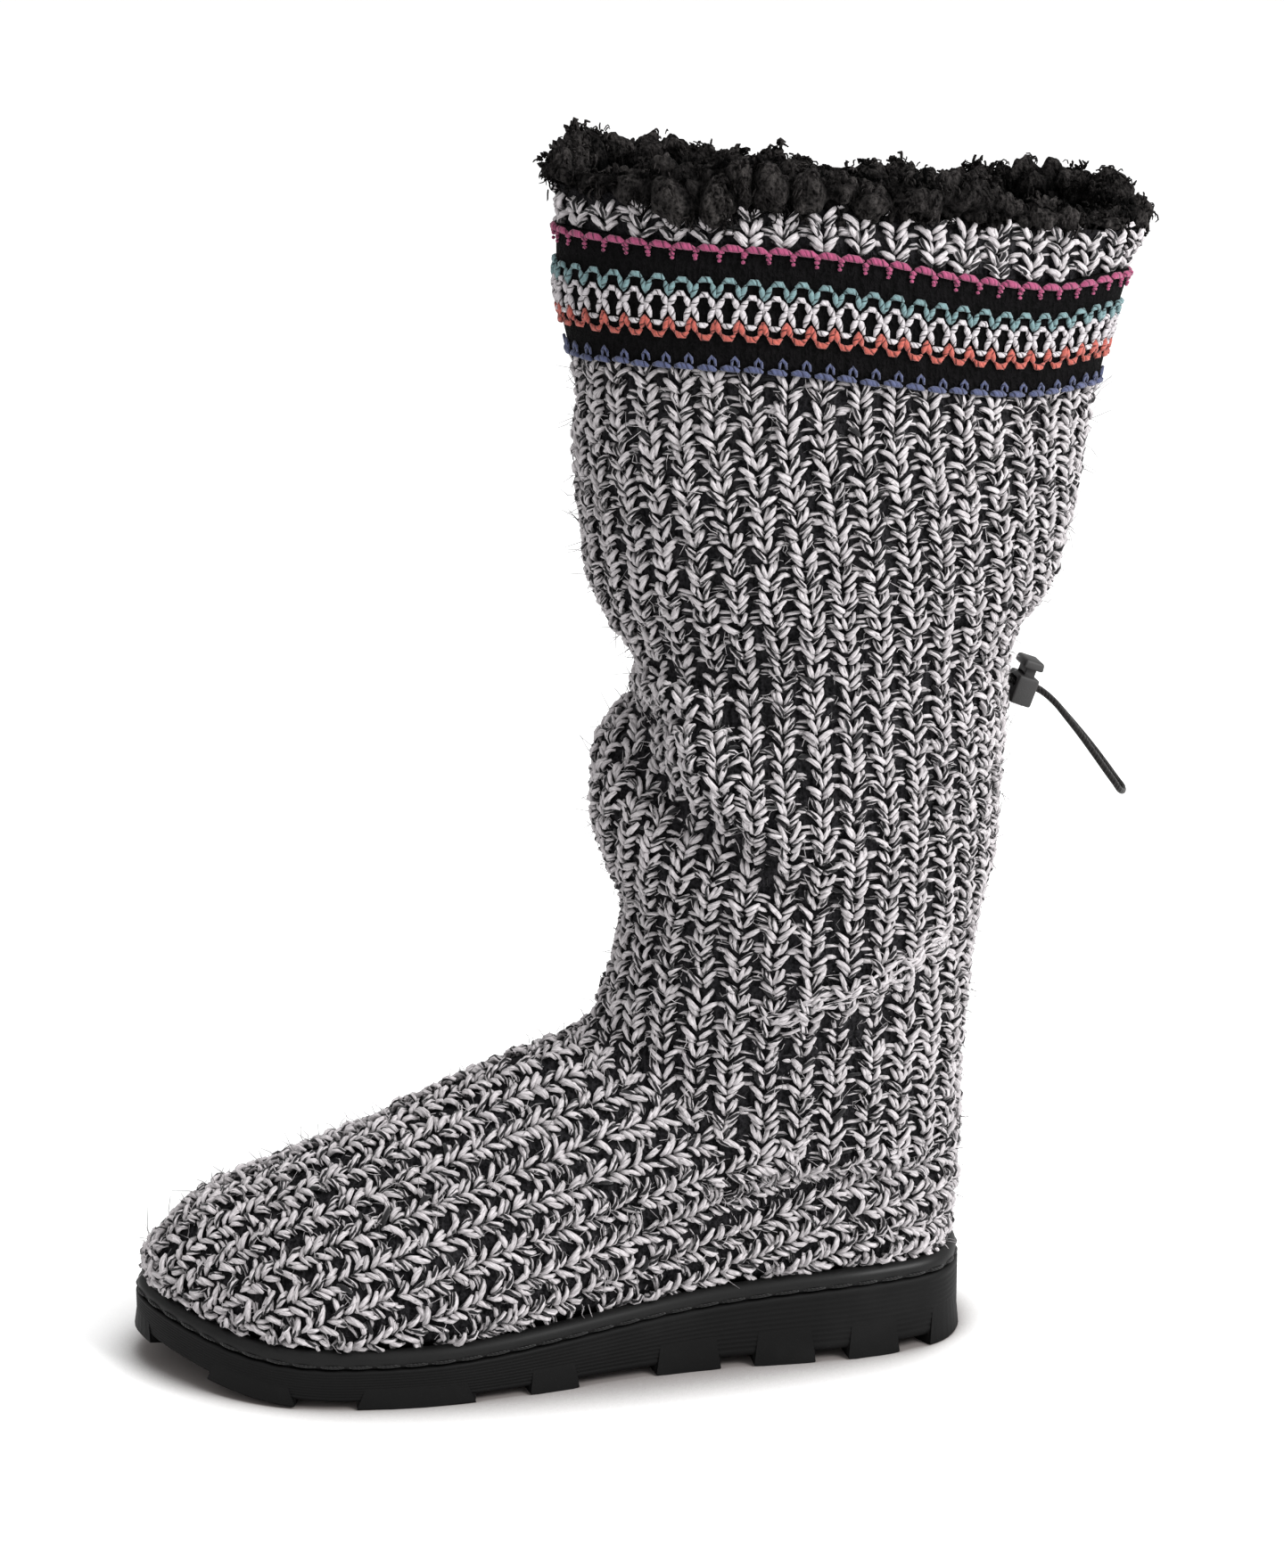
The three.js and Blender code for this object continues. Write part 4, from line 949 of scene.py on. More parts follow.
# the calf's ribs go on under the band by a share of a ring, and the collar's stitches are a little wider
BAND_LAP, COLLAR_WIDEN = 0.06, 1.05
middle_courses, high_courses = courses_between(middle_part), courses_between(lead_high_part)
ankle_ribs, waist_ribs, calf_ribs, collar_strip = Stitches(), Stitches(), Stitches(), Stitches()
for k in (*range(-rib_count, rib_count + 1), None):
    column = shaft_column(k)
    turns_up = column[0]
    high_part = (ring_numbers >= PINCH) & (ring_numbers <= BAND_LOW + BAND_LAP - band_sag(turns_up, 1.0))
    collar_part = ring_numbers >= BAND_HIGH - band_sag(turns_up, 0.0)
    top_course = length_of(low_part, turns_up) - ANKLE_COURSE
    stations = np.arange(top_course, -0.3 * ANKLE_COURSE, -ANKLE_COURSE)[::-1]
    knit(ankle_ribs, column, low_part, stations, first_course=len(stations) % 2)
    for stitches, part, courses in (
        (waist_ribs, middle_part, middle_courses), (calf_ribs, high_part, high_courses),
    ):
        knit(stitches, column, part, np.arange(courses) / courses * length_of(part, turns_up))
    stations = np.arange(0.4, length_of(collar_part, turns_up) - 2.5, COURSE)
    knit(collar_strip, column, collar_part, stations, COLLAR_WIDEN)
stand_for(knit_piece("rib_ankle", ankle_ribs, 11), "shaft")
stand_for(knit_piece("rib_waist", waist_ribs, 15), "shaft")
stand_for(knit_piece("rib_calf", calf_ribs, 12), "shaft")
stand_for(knit_piece("rib_collar", collar_strip, 13, thick=1.15), "shaft")
print("courses from the hollow to the waist", middle_courses, "and on to the band", high_courses)

# %% [markdown]
# The foot is knitted the other way: its ribs run from the toe back to the heel, and the V stitches point to
# the toe. Each half is measured from the crest of the instep down the side, so the ribs lie side by side over
# the vamp and run out into the welt, as cut knit does.

# %% Columns of the foot
FOOT_PITCH = 11.9
FOOT_COURSE = 4.4
WELT_RING = 0.55
foot_rows = np.arange(0, (ANKLE_SEAM + 1) * ROWS_PER_RING)
half_turns = np.arange(HALF_ROUND + 1) / AROUND
# behind the throat the ribs climb towards the heel, and they draw together round one place on its side
HEEL_RISE, RISE_FADE = 0.38, 55.0
HEEL_ANCHOR, HEEL_SQUEEZE, SQUEEZE_FROM, SQUEEZE_TO = 40.0, 0.2, 25.0, 100.0
# the last millimetres of a rib before the toe, which have no rungs
FREE_END = 14.0

# The cross section just in front of the throat: the ribs behind the throat go on from there.
seam_loop = skin[ANKLE_SEAM * ROWS_PER_RING]
throat_x = seam_loop[HALF_ROUND, 0]
top_middle = (seam_loop[0, 0] + throat_x) / 2
top_half = seam_loop[:, 1].max()
throat = []
for row in range(ANKLE_SEAM * ROWS_PER_RING, -1, -1):
    half = skin[row, : HALF_ROUND + 1]
    if half[-1, 0] >= throat_x:
        throat.append([np.interp(throat_x, half[:, 0], half[:, axis]) for axis in (1, 2)])
throat = np.array(throat)
throat = throat[: np.argmax(throat[:, 0]) + 1]
throat_aside, throat_up = throat.T
throat_way = run_of(throat)


def foot_section(x, inner):
    """Ring numbers, turns and the way down from the crest, of a cross section of one half of the foot."""
    side = -1 if inner else 1
    columns = (side * np.arange(HALF_ROUND + 1)) % AROUND
    found = []
    for row in foot_rows[::-1]:
        half = skin[row, columns]
        if half[0, 0] <= x <= half[-1, 0]:
            found.append((row / ROWS_PER_RING, side * np.interp(x, half[:, 0], half_turns)))
    if len(found) < 3:
        return None
    ring_at, turn_at = np.array(found).T
    way = run_of(on_skin(ring_at, turn_at)[0])
    if ring_at[0] >= ANKLE_SEAM:
        at_seam = [np.interp(-ANKLE_SEAM, -ring_at, column) for column in (turn_at, way)]
        top = on_skin(ANKLE_SEAM, at_seam[0])[0]
        aside = abs(top[1]) if x > top_middle else top_half
        start = np.interp(aside, throat_aside, throat_way) - at_seam[1]
        rise = HEEL_RISE * RISE_FADE * (1 - math.exp(-(throat_x - x) / RISE_FADE))
        start += np.interp(aside, throat_aside, throat_up) + rise - top[2]
    else:
        crest_ring = np.interp(-x, -skin[foot_rows, HALF_ROUND, 0], foot_rows) / ROWS_PER_RING
        start = np.linalg.norm(on_skin(crest_ring, 0.5)[0] - on_skin(ring_at[0], turn_at[0])[0])
    return ring_at, turn_at, way + start


# cross sections, closer together at the heel and the toe, where the skin turns
heel_stations = 9.0 * np.linspace(0.02, 1, 14) ** 2
foot_stations = np.concatenate([heel_stations, np.arange(10.0, 240.0, 1.5), np.arange(240.0, 258.0, 0.3)])
foot_knit = Stitches()
for inner in (False, True):
    sections = [(x, foot_section(x, inner)) for x in foot_stations]
    sections = [(x, section) for x, section in sections if section is not None]
    for k in range(-2, 16):
        trace = []
        for x, (ring_at, turn_at, way) in sections:
            squeeze = 1 - HEEL_SQUEEZE + HEEL_SQUEEZE * smooth_step(x, SQUEEZE_FROM, SQUEEZE_TO)
            way_down = HEEL_ANCHOR + ((k + 0.5) * FOOT_PITCH - HEEL_ANCHOR) * squeeze
            if way[0] - 1.5 <= way_down <= way[-1]:
                ring = np.interp(way_down, way, ring_at)
                if WELT_RING < ring < ANKLE_SEAM + 0.2:
                    trace.append((ring, np.interp(way_down, way, turn_at)))
        if len(trace) < 6:
            continue
        trace_rings, trace_turns = np.array(trace).T
        full = run_of(on_skin(trace_rings, trace_turns)[0])[-1]
        stations = np.arange(full - 1.0, 0.0, -FOOT_COURSE)[::-1]
        column_stitches(foot_knit, trace_rings, trace_turns, np.ones(len(trace)), stations,
                        np.full(len(trace), FOOT_PITCH), len(stations) % 2, flip=True, end_free=FREE_END)
stand_for(knit_piece("rib_foot", foot_knit, 14, loose=1.6, thick=1.1), "upper")

# %% [markdown]
# Woollen yarn is never clean: loose fibres stand out of every strand, cross the recesses and blur the
# outline. A few thousand of them, scattered evenly over the skin as thin bent hairs, soften the knit.

# %% Loose fibres
FIBRE_RADII = np.array([0.14, 0.12, 0.07])
FIBRE_SINK, FIBRE_RISE = -1.8, 0.5
FIBRE_SHORT, FIBRE_LONG = 1.5, 3.2


def fibres(name, low_ring, high_ring, count, seed, node):
    """Thin bent hairs scattered over the skin between two rings, by area."""
    chance = np.random.default_rng(seed)
    rows = np.arange(int(low_ring * ROWS_PER_RING), int(high_ring * ROWS_PER_RING))
    tall = np.linalg.norm(skin[rows + 1] - skin[rows], axis=2)
    long = np.linalg.norm(np.roll(skin[rows], -1, axis=1) - skin[rows], axis=2)
    cells = (tall * long).ravel()
    picked = chance.choice(cells.size, count, p=cells / cells.sum())
    ring_at = (rows[picked // AROUND] + chance.random(count)) / ROWS_PER_RING
    turn_at = (picked % AROUND + chance.random(count)) / AROUND
    start, up = on_skin(ring_at, turn_at, chance.uniform(FIBRE_SINK, FIBRE_RISE, count))
    way = unit(chance.normal(0, 1, (count, 3)) + 0.35 * up)
    bend = chance.normal(0, 0.5, (count, 3))
    reach = chance.uniform(FIBRE_SHORT, FIBRE_LONG, (count, 1))
    lines = np.stack([start, start + reach * way, start + reach * (2 * way + bend)], axis=1)
    ups = np.repeat(unit(np.cross(way, (0.31, 0.52, 0.79)))[:, None], 3, axis=1)
    piece = strand_piece(name, [(lines, FIBRE_RADII, ups, 4, None)], marled, seed, 0.3)
    return stand_for(piece, node)


fibres("foot_fibres", 1.2, ANKLE_SEAM, 1500, 41, "upper")
fibres("shaft_fibres", ANKLE_SEAM, BAND_LOW, 2800, 42, "shaft")

# %% [markdown]
# Where the slack shaft folds above the heel, the rib closes up and the yarn is pulled along the fold.
# A sheaf of strands laid on the ridge shows it: each one follows the ridge line for a centimetre or so.

# %% Yarn along the fold
# turn and height in millimetres where the ridge starts and ends
FOLD_LOW, FOLD_HIGH = np.array((0.305, 113.0)), np.array((0.115, 138.0))
FOLD_STRANDS = 44
FOLD_SPREAD, FOLD_WAVER = 2.4, 0.6


def ring_at_height(turn, height):
    """Ring numbers of the shaft at turns and heights."""
    rows = np.arange(first_row, last_row + 1)
    columns = np.rint(np.asarray(turn) * AROUND).astype(int) % AROUND
    return np.array([np.interp(up, skin[rows, c, 2], rows) for c, up in zip(columns, height)]) / ROWS_PER_RING


chance = np.random.default_rng(44)
fold_starts = chance.uniform(-0.05, 0.9, FOLD_STRANDS)
fold_offset = chance.normal(0, FOLD_SPREAD, FOLD_STRANDS)
fold_lines, fold_ups = [], []
for step, rise in zip((0, 0.035, 0.08, 0.12), (-1.6, -0.5, -0.5, -1.6)):
    spot = FOLD_LOW + (fold_starts + step)[:, None] * (FOLD_HIGH - FOLD_LOW)
    heights = spot[:, 1] + fold_offset + chance.normal(0, FOLD_WAVER, FOLD_STRANDS)
    line, facing = on_skin(ring_at_height(spot[:, 0], heights), spot[:, 0], np.full(FOLD_STRANDS, rise))
    fold_lines.append(line)
    fold_ups.append(facing)
fold_radii = np.array([0.4, 0.58, 0.58, 0.4])
fold_batch = (np.stack(fold_lines, axis=1), fold_radii, np.stack(fold_ups, axis=1), 6, None)
stand_for(strand_piece("fold_yarn", [fold_batch], marled, 44), "shaft")

# %% [markdown]
# Behind the stitches lies the rest of the cloth: the dark back of the rib outside and a fleece lining inside.
# It is one thin closed shell, bridged ring by ring, whose outer wall is what shows in the recesses.

# %% Backing and lining
def loop_of(work, points, step=1):
    """A closed ring of vertices and edges."""
    corners = [work.verts.new(p) for p in place(points[::step])]
    return [work.edges.new((a, b)) for a, b in zip(corners, corners[1:] + corners[:1])]


def bridge_all(work, loops, closed=False):
    """Bridges each ring of edges to the next one."""
    pairs = list(zip(loops, loops[1:])) + ([(loops[-1], loops[0])] if closed else [])
    for low, high in pairs:
        bmesh.ops.bridge_loops(work, edges=low + high)


def finish_mesh(name, work, *materials, smooth=True):
    """Turns a bmesh into a linked object."""
    bmesh.ops.recalc_face_normals(work, faces=work.faces)
    mesh = bpy.data.meshes.new(name)
    work.to_mesh(mesh)
    work.free()
    if smooth:
        mesh.shade_smooth()
    for material in materials:
        mesh.materials.append(material)
    print(name, "faces:", len(mesh.polygons))
    return add_object(name, mesh)


BACKING_OUT, BACKING_IN = -2.4, -5.2
backing_rows = np.arange(4, COLLAR * ROWS_PER_RING + 1, 4)
backing = bmesh.new()
outer_loops = [loop_of(backing, skin[r] + BACKING_OUT * normals[r], 2) for r in backing_rows]
inner_loops = [loop_of(backing, skin[r] + BACKING_IN * normals[r], 2) for r in backing_rows[::-1]]
bridge_all(backing, outer_loops + inner_loops, closed=True)
lined_from = len(backing.faces) // 2
backing.faces.ensure_lookup_table()
for face in backing.faces[lined_from:]:
    face.material_index = 1
stand_for(finish_mesh("knit_backing", backing, knit_back, lining), "upper", "shaft")

# %% [markdown]
# ## The stripe band
# Below the collar runs a band of fine black knit with crocheted stripes: a pink line with picots, teal
# arches, a white lattice, orange arches upside down, and a blue line with picots. The black ribbon is a thin
# closed shell that sags with the slack shaft. A stripe is drawn once, as strands within one repeat, and laid
# round the band 60 times.

# %% Black ribbon
# ring number of the band's top, how many rings it is deep, and its two walls in millimetres from the skin
BAND_TOP, BAND_DEPTH = 25.98, 2.03
RIBBON_OUT, RIBBON_IN = 0.1, -1.9


def on_band(turn, down, out):
    """Points and normals of the band: share of the way down it, and millimetres proud of the skin."""
    return on_skin(BAND_TOP - BAND_DEPTH * down - band_sag(turn, down), turn, out)


ribbon_turns = np.arange(0, AROUND, 2) / AROUND
ribbon_downs = np.linspace(-0.04, 1.01, 14)
ribbon = bmesh.new()
outer_loops = [loop_of(ribbon, on_band(ribbon_turns, d, RIBBON_OUT)[0]) for d in ribbon_downs]
inner_loops = [loop_of(ribbon, on_band(ribbon_turns, d, RIBBON_IN)[0]) for d in ribbon_downs[::-1]]
bridge_all(ribbon, outer_loops + inner_loops, closed=True)
stand_for(finish_mesh("band_ribbon", ribbon, ribbon_knit), "stripe_band")

# %% Crocheted stripes
BAND_REPEATS = 60
STRAND_SLIM = 0.82
# how unevenly the crochet lies: along the band (in repeats), down it (in shares) and out (in millimetres)
ALONG_SHIFT, DOWN_SHIFT, OUT_SHIFT = 0.02, 0.004, 0.08


def stripe_piece(name, drawing, material, seed, out=0.75):
    """Lays one repeat of strands round the band: share of the repeat, share down the band, thickness."""
    chance = np.random.default_rng(seed)
    batches = []
    for strand in drawing:
        strand = np.array(strand)
        starts = np.arange(BAND_REPEATS)[:, None]
        places = starts + strand[None, :, 0] + chance.normal(0, ALONG_SHIFT, (BAND_REPEATS, 1))
        down = strand[None, :, 1] + chance.normal(0, DOWN_SHIFT, (BAND_REPEATS, 1))
        lift = out + chance.normal(0, OUT_SHIFT, (BAND_REPEATS, 1)) + 0.0 * places
        lines, facing = on_band(places / BAND_REPEATS, down, lift)
        batches.append((lines, STRAND_SLIM * strand[:, 2], facing, 6, 0.0))
    return stand_for(strand_piece(name, batches, material, seed), "stripe_band")


def mirrored(strand):
    """The same strand on the other side of the repeat."""
    return [(-across, down, thick) for across, down, thick in strand]


PINK_DASH = [(-0.47, 0.014, 0.5), (-0.22, -0.002, 1.3), (0.2, -0.008, 1.35), (0.45, 0.006, 0.55)]
PINK_PICOT = [
    [(0.36, 0.04, 0.45), (0.5, 0.034, 1.0), (0.63, 0.04, 0.45)],
    [(0.39, 0.073, 0.45), (0.5, 0.07, 0.9), (0.61, 0.076, 0.45)],
    [(0.42, 0.106, 0.4), (0.5, 0.103, 0.75), (0.58, 0.108, 0.4)],
]
stripe_piece("stripe_pink", [PINK_DASH, *PINK_PICOT], pink_yarn, 21)
TEAL_SIDE = [(-0.5, 0.405, 0.35), (-0.43, 0.366, 1.05), (-0.35, 0.322, 1.05), (-0.29, 0.29, 0.4)]
TEAL_TOP = [(-0.29, 0.288, 0.4), (-0.13, 0.264, 1.1), (0.13, 0.264, 1.1), (0.29, 0.288, 0.4)]
stripe_piece("stripe_teal", [TEAL_SIDE, TEAL_TOP, mirrored(TEAL_SIDE)[::-1]], teal_yarn, 22)
WHITE_TOP = [(-0.22, 0.405, 0.4), (-0.09, 0.384, 1.05), (0.09, 0.384, 1.05), (0.22, 0.405, 0.4)]
WHITE_ARM = [(-0.19, 0.4, 0.45), (-0.29, 0.432, 1.15), (-0.38, 0.463, 1.15), (-0.5, 0.49, 0.5)]
WHITE_LEG = [(-0.5, 0.478, 0.5), (-0.38, 0.512, 1.15), (-0.3, 0.55, 1.15), (-0.22, 0.603, 0.45)]
WHITE_FOOT = [(-0.24, 0.62, 0.4), (-0.09, 0.633, 1.0), (0.09, 0.633, 1.0), (0.24, 0.62, 0.4)]
white_lattice = [WHITE_TOP, WHITE_ARM, mirrored(WHITE_ARM), WHITE_LEG, mirrored(WHITE_LEG), WHITE_FOOT]
stripe_piece("stripe_white", white_lattice, white_yarn, 23)
ORANGE_SIDE = [(-0.51, 0.58, 0.4), (-0.44, 0.62, 1.1), (-0.36, 0.667, 1.1), (-0.3, 0.702, 0.4)]
ORANGE_LOW = [(-0.31, 0.7, 0.4), (-0.13, 0.736, 1.15), (0.13, 0.736, 1.15), (0.31, 0.7, 0.4)]
stripe_piece("stripe_orange", [ORANGE_SIDE, ORANGE_LOW, mirrored(ORANGE_SIDE)[::-1]], orange_yarn, 24)
BLUE_DASH = [(-0.42, 1.012, 0.5), (-0.24, 0.997, 1.15), (0.16, 0.992, 1.2), (0.4, 1.0, 0.6)]
BLUE_PICOT = [
    (-0.41, 0.972, 0.4), (-0.39, 0.925, 0.62), (-0.26, 0.893, 0.68), (-0.13, 0.925, 0.62),
    (-0.11, 0.972, 0.4),
]
stripe_piece("stripe_blue", [BLUE_DASH, BLUE_PICOT], blue_yarn, 25)

# %% [markdown]
# ## The fleece collar
# The lining is turned up over the rim as a thick roll of curly fleece. Hair by hair it would be far too
# heavy.
# So a closed roll is bridged band by band and pushed out in clumps by cell noise.
# Combed locks lie on its walls and short tufts stand on its crest, which makes the edge look soft.

# %% Fleece roll
# out from the rim and up from it, in millimetres, and what share of the roll's droop a point takes
CUFF_PROFILE = np.array([
    (-2.4, -2.6, 0.3), (0.6, -1.9, 1), (1.8, 1.4, 0.8), (0.8, 5.2, 0.2), (-2.4, 7.4, 0),
    (-6.2, 7.6, 0), (-9.6, 6.0, 0), (-11.4, 2.0, 0), (-10.2, -3.0, 0), (-6.2, -4.6, 0),
])
CUFF_TOP = CUFF_PROFILE[:, 1].max()
CUFF_AROUND = 560
# by turn: how tall the roll is, how far it droops and how far it leans out, in millimetres
cuff_turns = np.arange(CUFF_AROUND) / CUFF_AROUND
roll_tall = np.interp(cuff_turns, (0, 0.1, 0.2, 0.3, 0.4, 0.5, 0.56, 0.62, 0.68, 0.75, 0.85, 0.9, 0.95, 1),
                      (10, 8, 8, 9, 10, 10.5, 12, 10.5, 7.5, 4, 4, 9, 12, 10)) / CUFF_TOP
roll_sink = np.interp(cuff_turns, (0, 0.08, 0.128, 0.2, 0.315, 0.335, 0.358, 0.385, 0.425, 0.46, 0.6, 1),
                      (-1.5, -1.5, -0.8, -2.2, -3.8, -0.5, 4.2, 1.2, -2.8, -4.2, -2, -1.5))
roll_shift = np.interp(cuff_turns, (0, 0.1, 0.2, 0.8, 0.9, 1), (-2.8, -1.6, 0, 0, -1.6, -2.8))
rim = on_skin(np.full(CUFF_AROUND, float(COLLAR)), cuff_turns)[0]
rim_out = np.column_stack([outward_of(rim[:, :2]), np.zeros(CUFF_AROUND)])
cuff = bmesh.new()
# The roll's tone layer is painted shade: the fleece is darker low on its inner wall and in the gaps between
# clumps and curls.
shade, crest = cuff.verts.layers.float.new("tone"), cuff.verts.layers.float.new("crest")


def cuff_loop(out, up, sinks):
    """One ring of the roll; its corners carry painted shade, which is how much light they take and is darker
    low on the inner wall, and how far the crest may heave.
    """
    rise = up * (roll_tall if up > 0 else 1.0) - sinks * roll_sink
    lift = np.column_stack([np.zeros((CUFF_AROUND, 2)), rise])
    edges = loop_of(cuff, rim + (out + roll_shift)[:, None] * rim_out + lift)
    for edge in edges:
        # painted shade: on the inner wall the fleece darkens towards the bottom of the mouth
        edge.verts[0][shade] = 1.0 if out > -5.0 else float(smooth_step(up, 2.0, 6.5))
        edge.verts[0][crest] = float(smooth_step(up, 2.0, 6.0))
    return edges


# Each band has two rings of its own, so nothing beside it can turn a bridge round; then the bands are welded.
cuff_line = smooth_line(CUFF_PROFILE, closed=True, per_span=4)
for here, there in zip(cuff_line, np.roll(cuff_line, -1, axis=0)):
    bmesh.ops.bridge_loops(cuff, edges=cuff_loop(*here) + cuff_loop(*there))
bmesh.ops.remove_doubles(cuff, verts=cuff.verts, dist=1e-6)
bmesh.ops.recalc_face_normals(cuff, faces=cuff.faces)


# how closely clumps, curls, swells, streaks and the crest's heaves follow one another, per metre of fleece
CLUMPS, CURLS, SWELLS, STREAKS, HEAVES = 108, 250, 40, Vector((420, 420, 110)), 48
# and how far they stand out, in metres
CLUMP_OUT, CURL_OUT, SWELL_OUT, STREAK_OUT, HEAVE_OUT = 0.0047, 0.0017, 0.0036, 0.0009, 0.007


def cell(point, sharp):
    """Cell noise: 0 in the gaps between the cells, 1 well inside them."""
    near, next_near = noise.voronoi(point)[0][:2]
    return min(1.0, sharp * (next_near - near))


def clump_height(point):
    """How far the fleece stands out at a point, in metres, and how clear of the gaps it is there, which is
    used as painted shade in the gaps between clumps and curls.
    """
    tall = point * Vector((1, 1, 0.6))
    clump = cell(tall * CLUMPS, 1.7)
    curl = cell(tall * CURLS + Vector((7, 3, 5)), 2.0)
    dome = clump * (2 - clump)
    height = ((dome - 0.6) * CLUMP_OUT + (curl - 0.5) * CURL_OUT
              + noise.noise(point * SWELLS) * SWELL_OUT + noise.noise(point * STREAKS) * STREAK_OUT)
    return height, (0.12 + 0.88 * dome) * (0.55 + 0.45 * curl)


cuff.normal_update()
moves = []
for vertex in cuff.verts:
    height, clear = clump_height(vertex.co)
    height += HEAVE_OUT * noise.noise(vertex.co * HEAVES) * vertex[crest]
    # painted shade: the fleece is darker in the gaps between clumps and curls
    vertex[shade] *= clear
    moves.append((vertex, height * vertex.normal))
for vertex, move in moves:
    vertex.co += move
cuff.normal_update()
# Each root keeps the roll's painted shade for the locks that grow on it.
curl_roots = [(np.array(f.calc_center_median()), np.array(f.normal), f.calc_area(), f.verts[0][shade])
              for f in cuff.faces]
cuff.verts.layers.float.remove(crest)
stand_for(finish_mesh("fleece_roll", cuff, fleece), "fleece_cuff")

# %% Locks and tufts on the fleece
# locks that stand straight up on the crest are shorter by this share
CREST_TRIM = 0.45


def tufts(name, roots, count, locks, length, thickness, stand, curl, seed):
    """Tufts of locks on faces picked by area, combed down the roll; a tuft's locks lean and shine alike."""
    chance = np.random.default_rng(seed)
    centres, facing, areas, shades = (np.array(column) for column in zip(*roots))
    picked = np.repeat(chance.choice(len(roots), count, p=areas / areas.sum()), locks)

    def shared(spread, own):
        """Random directions that the locks of a tuft have mostly in common."""
        common = np.repeat(chance.normal(0, spread, (count, 3)), locks, axis=0)
        return common + chance.normal(0, own, (len(picked), 3))

    up = facing[picked]
    start = centres[picked] / MM + (HEEL_SHIFT, 0, 0) + chance.normal(0, 1.2, (len(picked), 3))
    combed = up * up[:, 2:] - (0, 0, 1)
    lean = unit(stand * up + (1 - stand) * combed + shared(0.4, 0.18))
    lean = unit(lean + np.maximum(stand - (lean * up).sum(axis=1, keepdims=True), 0) * up)
    hook = unit(shared(1.0, 0.35) - 0.9 * up)
    trim = 1 - CREST_TRIM * np.maximum(up[:, 2:], 0)
    reach = length * chance.uniform(0.7, 1.25, (len(picked), 1)) * trim
    lines = np.stack([start - 0.9 * up, start + 0.3 * reach * lean, start + 0.7 * reach * lean - 0.1 * up,
                      start + reach * (lean + curl * hook) - 0.7 * up], axis=1)
    radii = thickness * np.array([0.9, 1.0, 0.9, 0.5]) * chance.uniform(0.75, 1.25, (len(picked), 1))
    tone = np.repeat(chance.uniform(0.2, 0.9, count), locks) + chance.normal(0, 0.15, len(picked))
    # Each lock also takes its root's painted shade, so locks in the gaps and low in the mouth are darker.
    tone = np.clip(tone, 0, 1) * shades[picked]
    ups = np.repeat(np.cross(lean, (0.3, 0.5, 0.81))[:, None], 4, axis=1)
    return strand_piece(name, [(lines, radii, ups, 4, tone)], fleece_curls, seed)


fleece_locks = tufts("fleece_locks", curl_roots, count=850, locks=6, length=3.1, thickness=0.3, stand=0.05,
                     curl=0.2, seed=31)
stand_for(fleece_locks, "fleece_cuff")
top_roots = [root for root in curl_roots if root[1][2] > 0.5]
fleece_tufts = tufts("fleece_tufts", top_roots, count=90, locks=7, length=3.0, thickness=0.65, stand=0.6,
                     curl=0.8, seed=32)
stand_for(fleece_tufts, "fleece_cuff")

# %% [markdown]
# ## Welt, sole and insole
# A smooth piping runs round the edge between knit and rubber, with a line of thread in the groove under it.
# The sole is a wedge with fine moulded lines round its wall and bevelled cleats that climb its side. The
# insole is a pad of foam under fleece. All come from one outline: rings of it, set in or out and bridged.

# %% Welt and its thread
# in from the sole's outline and up from its edge, in millimetres
WELT_PROFILE = np.array([
    (1.1, 0.35), (0.75, 1.0), (0.55, 2.0), (0.7, 3.2), (1.3, 4.3),
    (2.3, 5.2), (3.5, 5.5), (4.6, 5.4), (4.9, 4.8), (4.9, 0.35),
])


def outline_loop(work, inset, height_of):
    flat = inset_outline(inset)
    return loop_of(work, np.column_stack([flat, height_of(flat[:, 0])]))


def loops_on_sole(work, profile):
    """Rings of the outline, in from it and up from the sole's edge as the profile says."""
    return [outline_loop(work, inset, lambda x, up=up: sole_top(x) + up) for inset, up in profile]


welt = bmesh.new()
bridge_all(welt, loops_on_sole(welt, WELT_PROFILE), closed=True)
stand_for(finish_mesh("welt_piping", welt, piping), "welt")

GROOVE_IN, GROOVE_UP = 0.62, 1.25
THREAD_STEP, THREAD_GAP, THREAD_RADIUS = 8.5, 0.6, 0.45
# how a stitch of thread comes out of the welt and goes back in
THREAD_OUT = np.array([-0.5, 0.1, 0.3, 0.3, 0.1, -0.5])
groove = inset_outline(GROOVE_IN)
groove = evenly(np.column_stack([groove, sole_top(groove[:, 0]) + GROOVE_UP])[np.r_[0:AROUND, 0]], 2000)
groove_run = run_of(groove)
thread_starts = np.arange(0, groove_run[-1] - THREAD_STEP / 2, THREAD_STEP)
thread_ways = thread_starts[:, None] + np.linspace(THREAD_GAP, THREAD_STEP - THREAD_GAP, len(THREAD_OUT))
thread_lines = np.stack([np.interp(thread_ways, groove_run, axis) for axis in groove.T], -1)
thread_out = np.column_stack([outward_of(inset_outline(GROOVE_IN)), np.zeros(AROUND)])
thread_at = (thread_ways / groove_run[-1] * AROUND).astype(int) % AROUND
thread_lines += thread_out[thread_at] * THREAD_OUT[:, None]
thread_batch = (thread_lines, THREAD_RADIUS, thread_out[thread_at], 6, 0.0)
stand_for(strand_piece("welt_thread", [thread_batch], sewing_thread, 33), "welt")

# %% Sole wedge
TREAD_HEEL, TREAD_DROP = 3.4, 1.1


def tread_base(x):
    """Height of the wedge's underside, which the cleats stand out of."""
    return floor_line(x) + TREAD_HEEL - TREAD_DROP * smooth_step(x, SLOPE_FROM, SLOPE_TO)


def close_end(work, edges):
    """Fills a ring of edges across from its outer to its inner half."""
    corners = [edge.verts[0] for edge in edges]
    half = len(corners) // 2
    bmesh.ops.bridge_loops(work, edges=edges[1 : half - 1] + edges[half + 1 : -1])
    for tip in (0, half):
        bmesh.ops.contextual_create(work, geom=[corners[tip - 1], corners[tip], corners[tip + 1]])


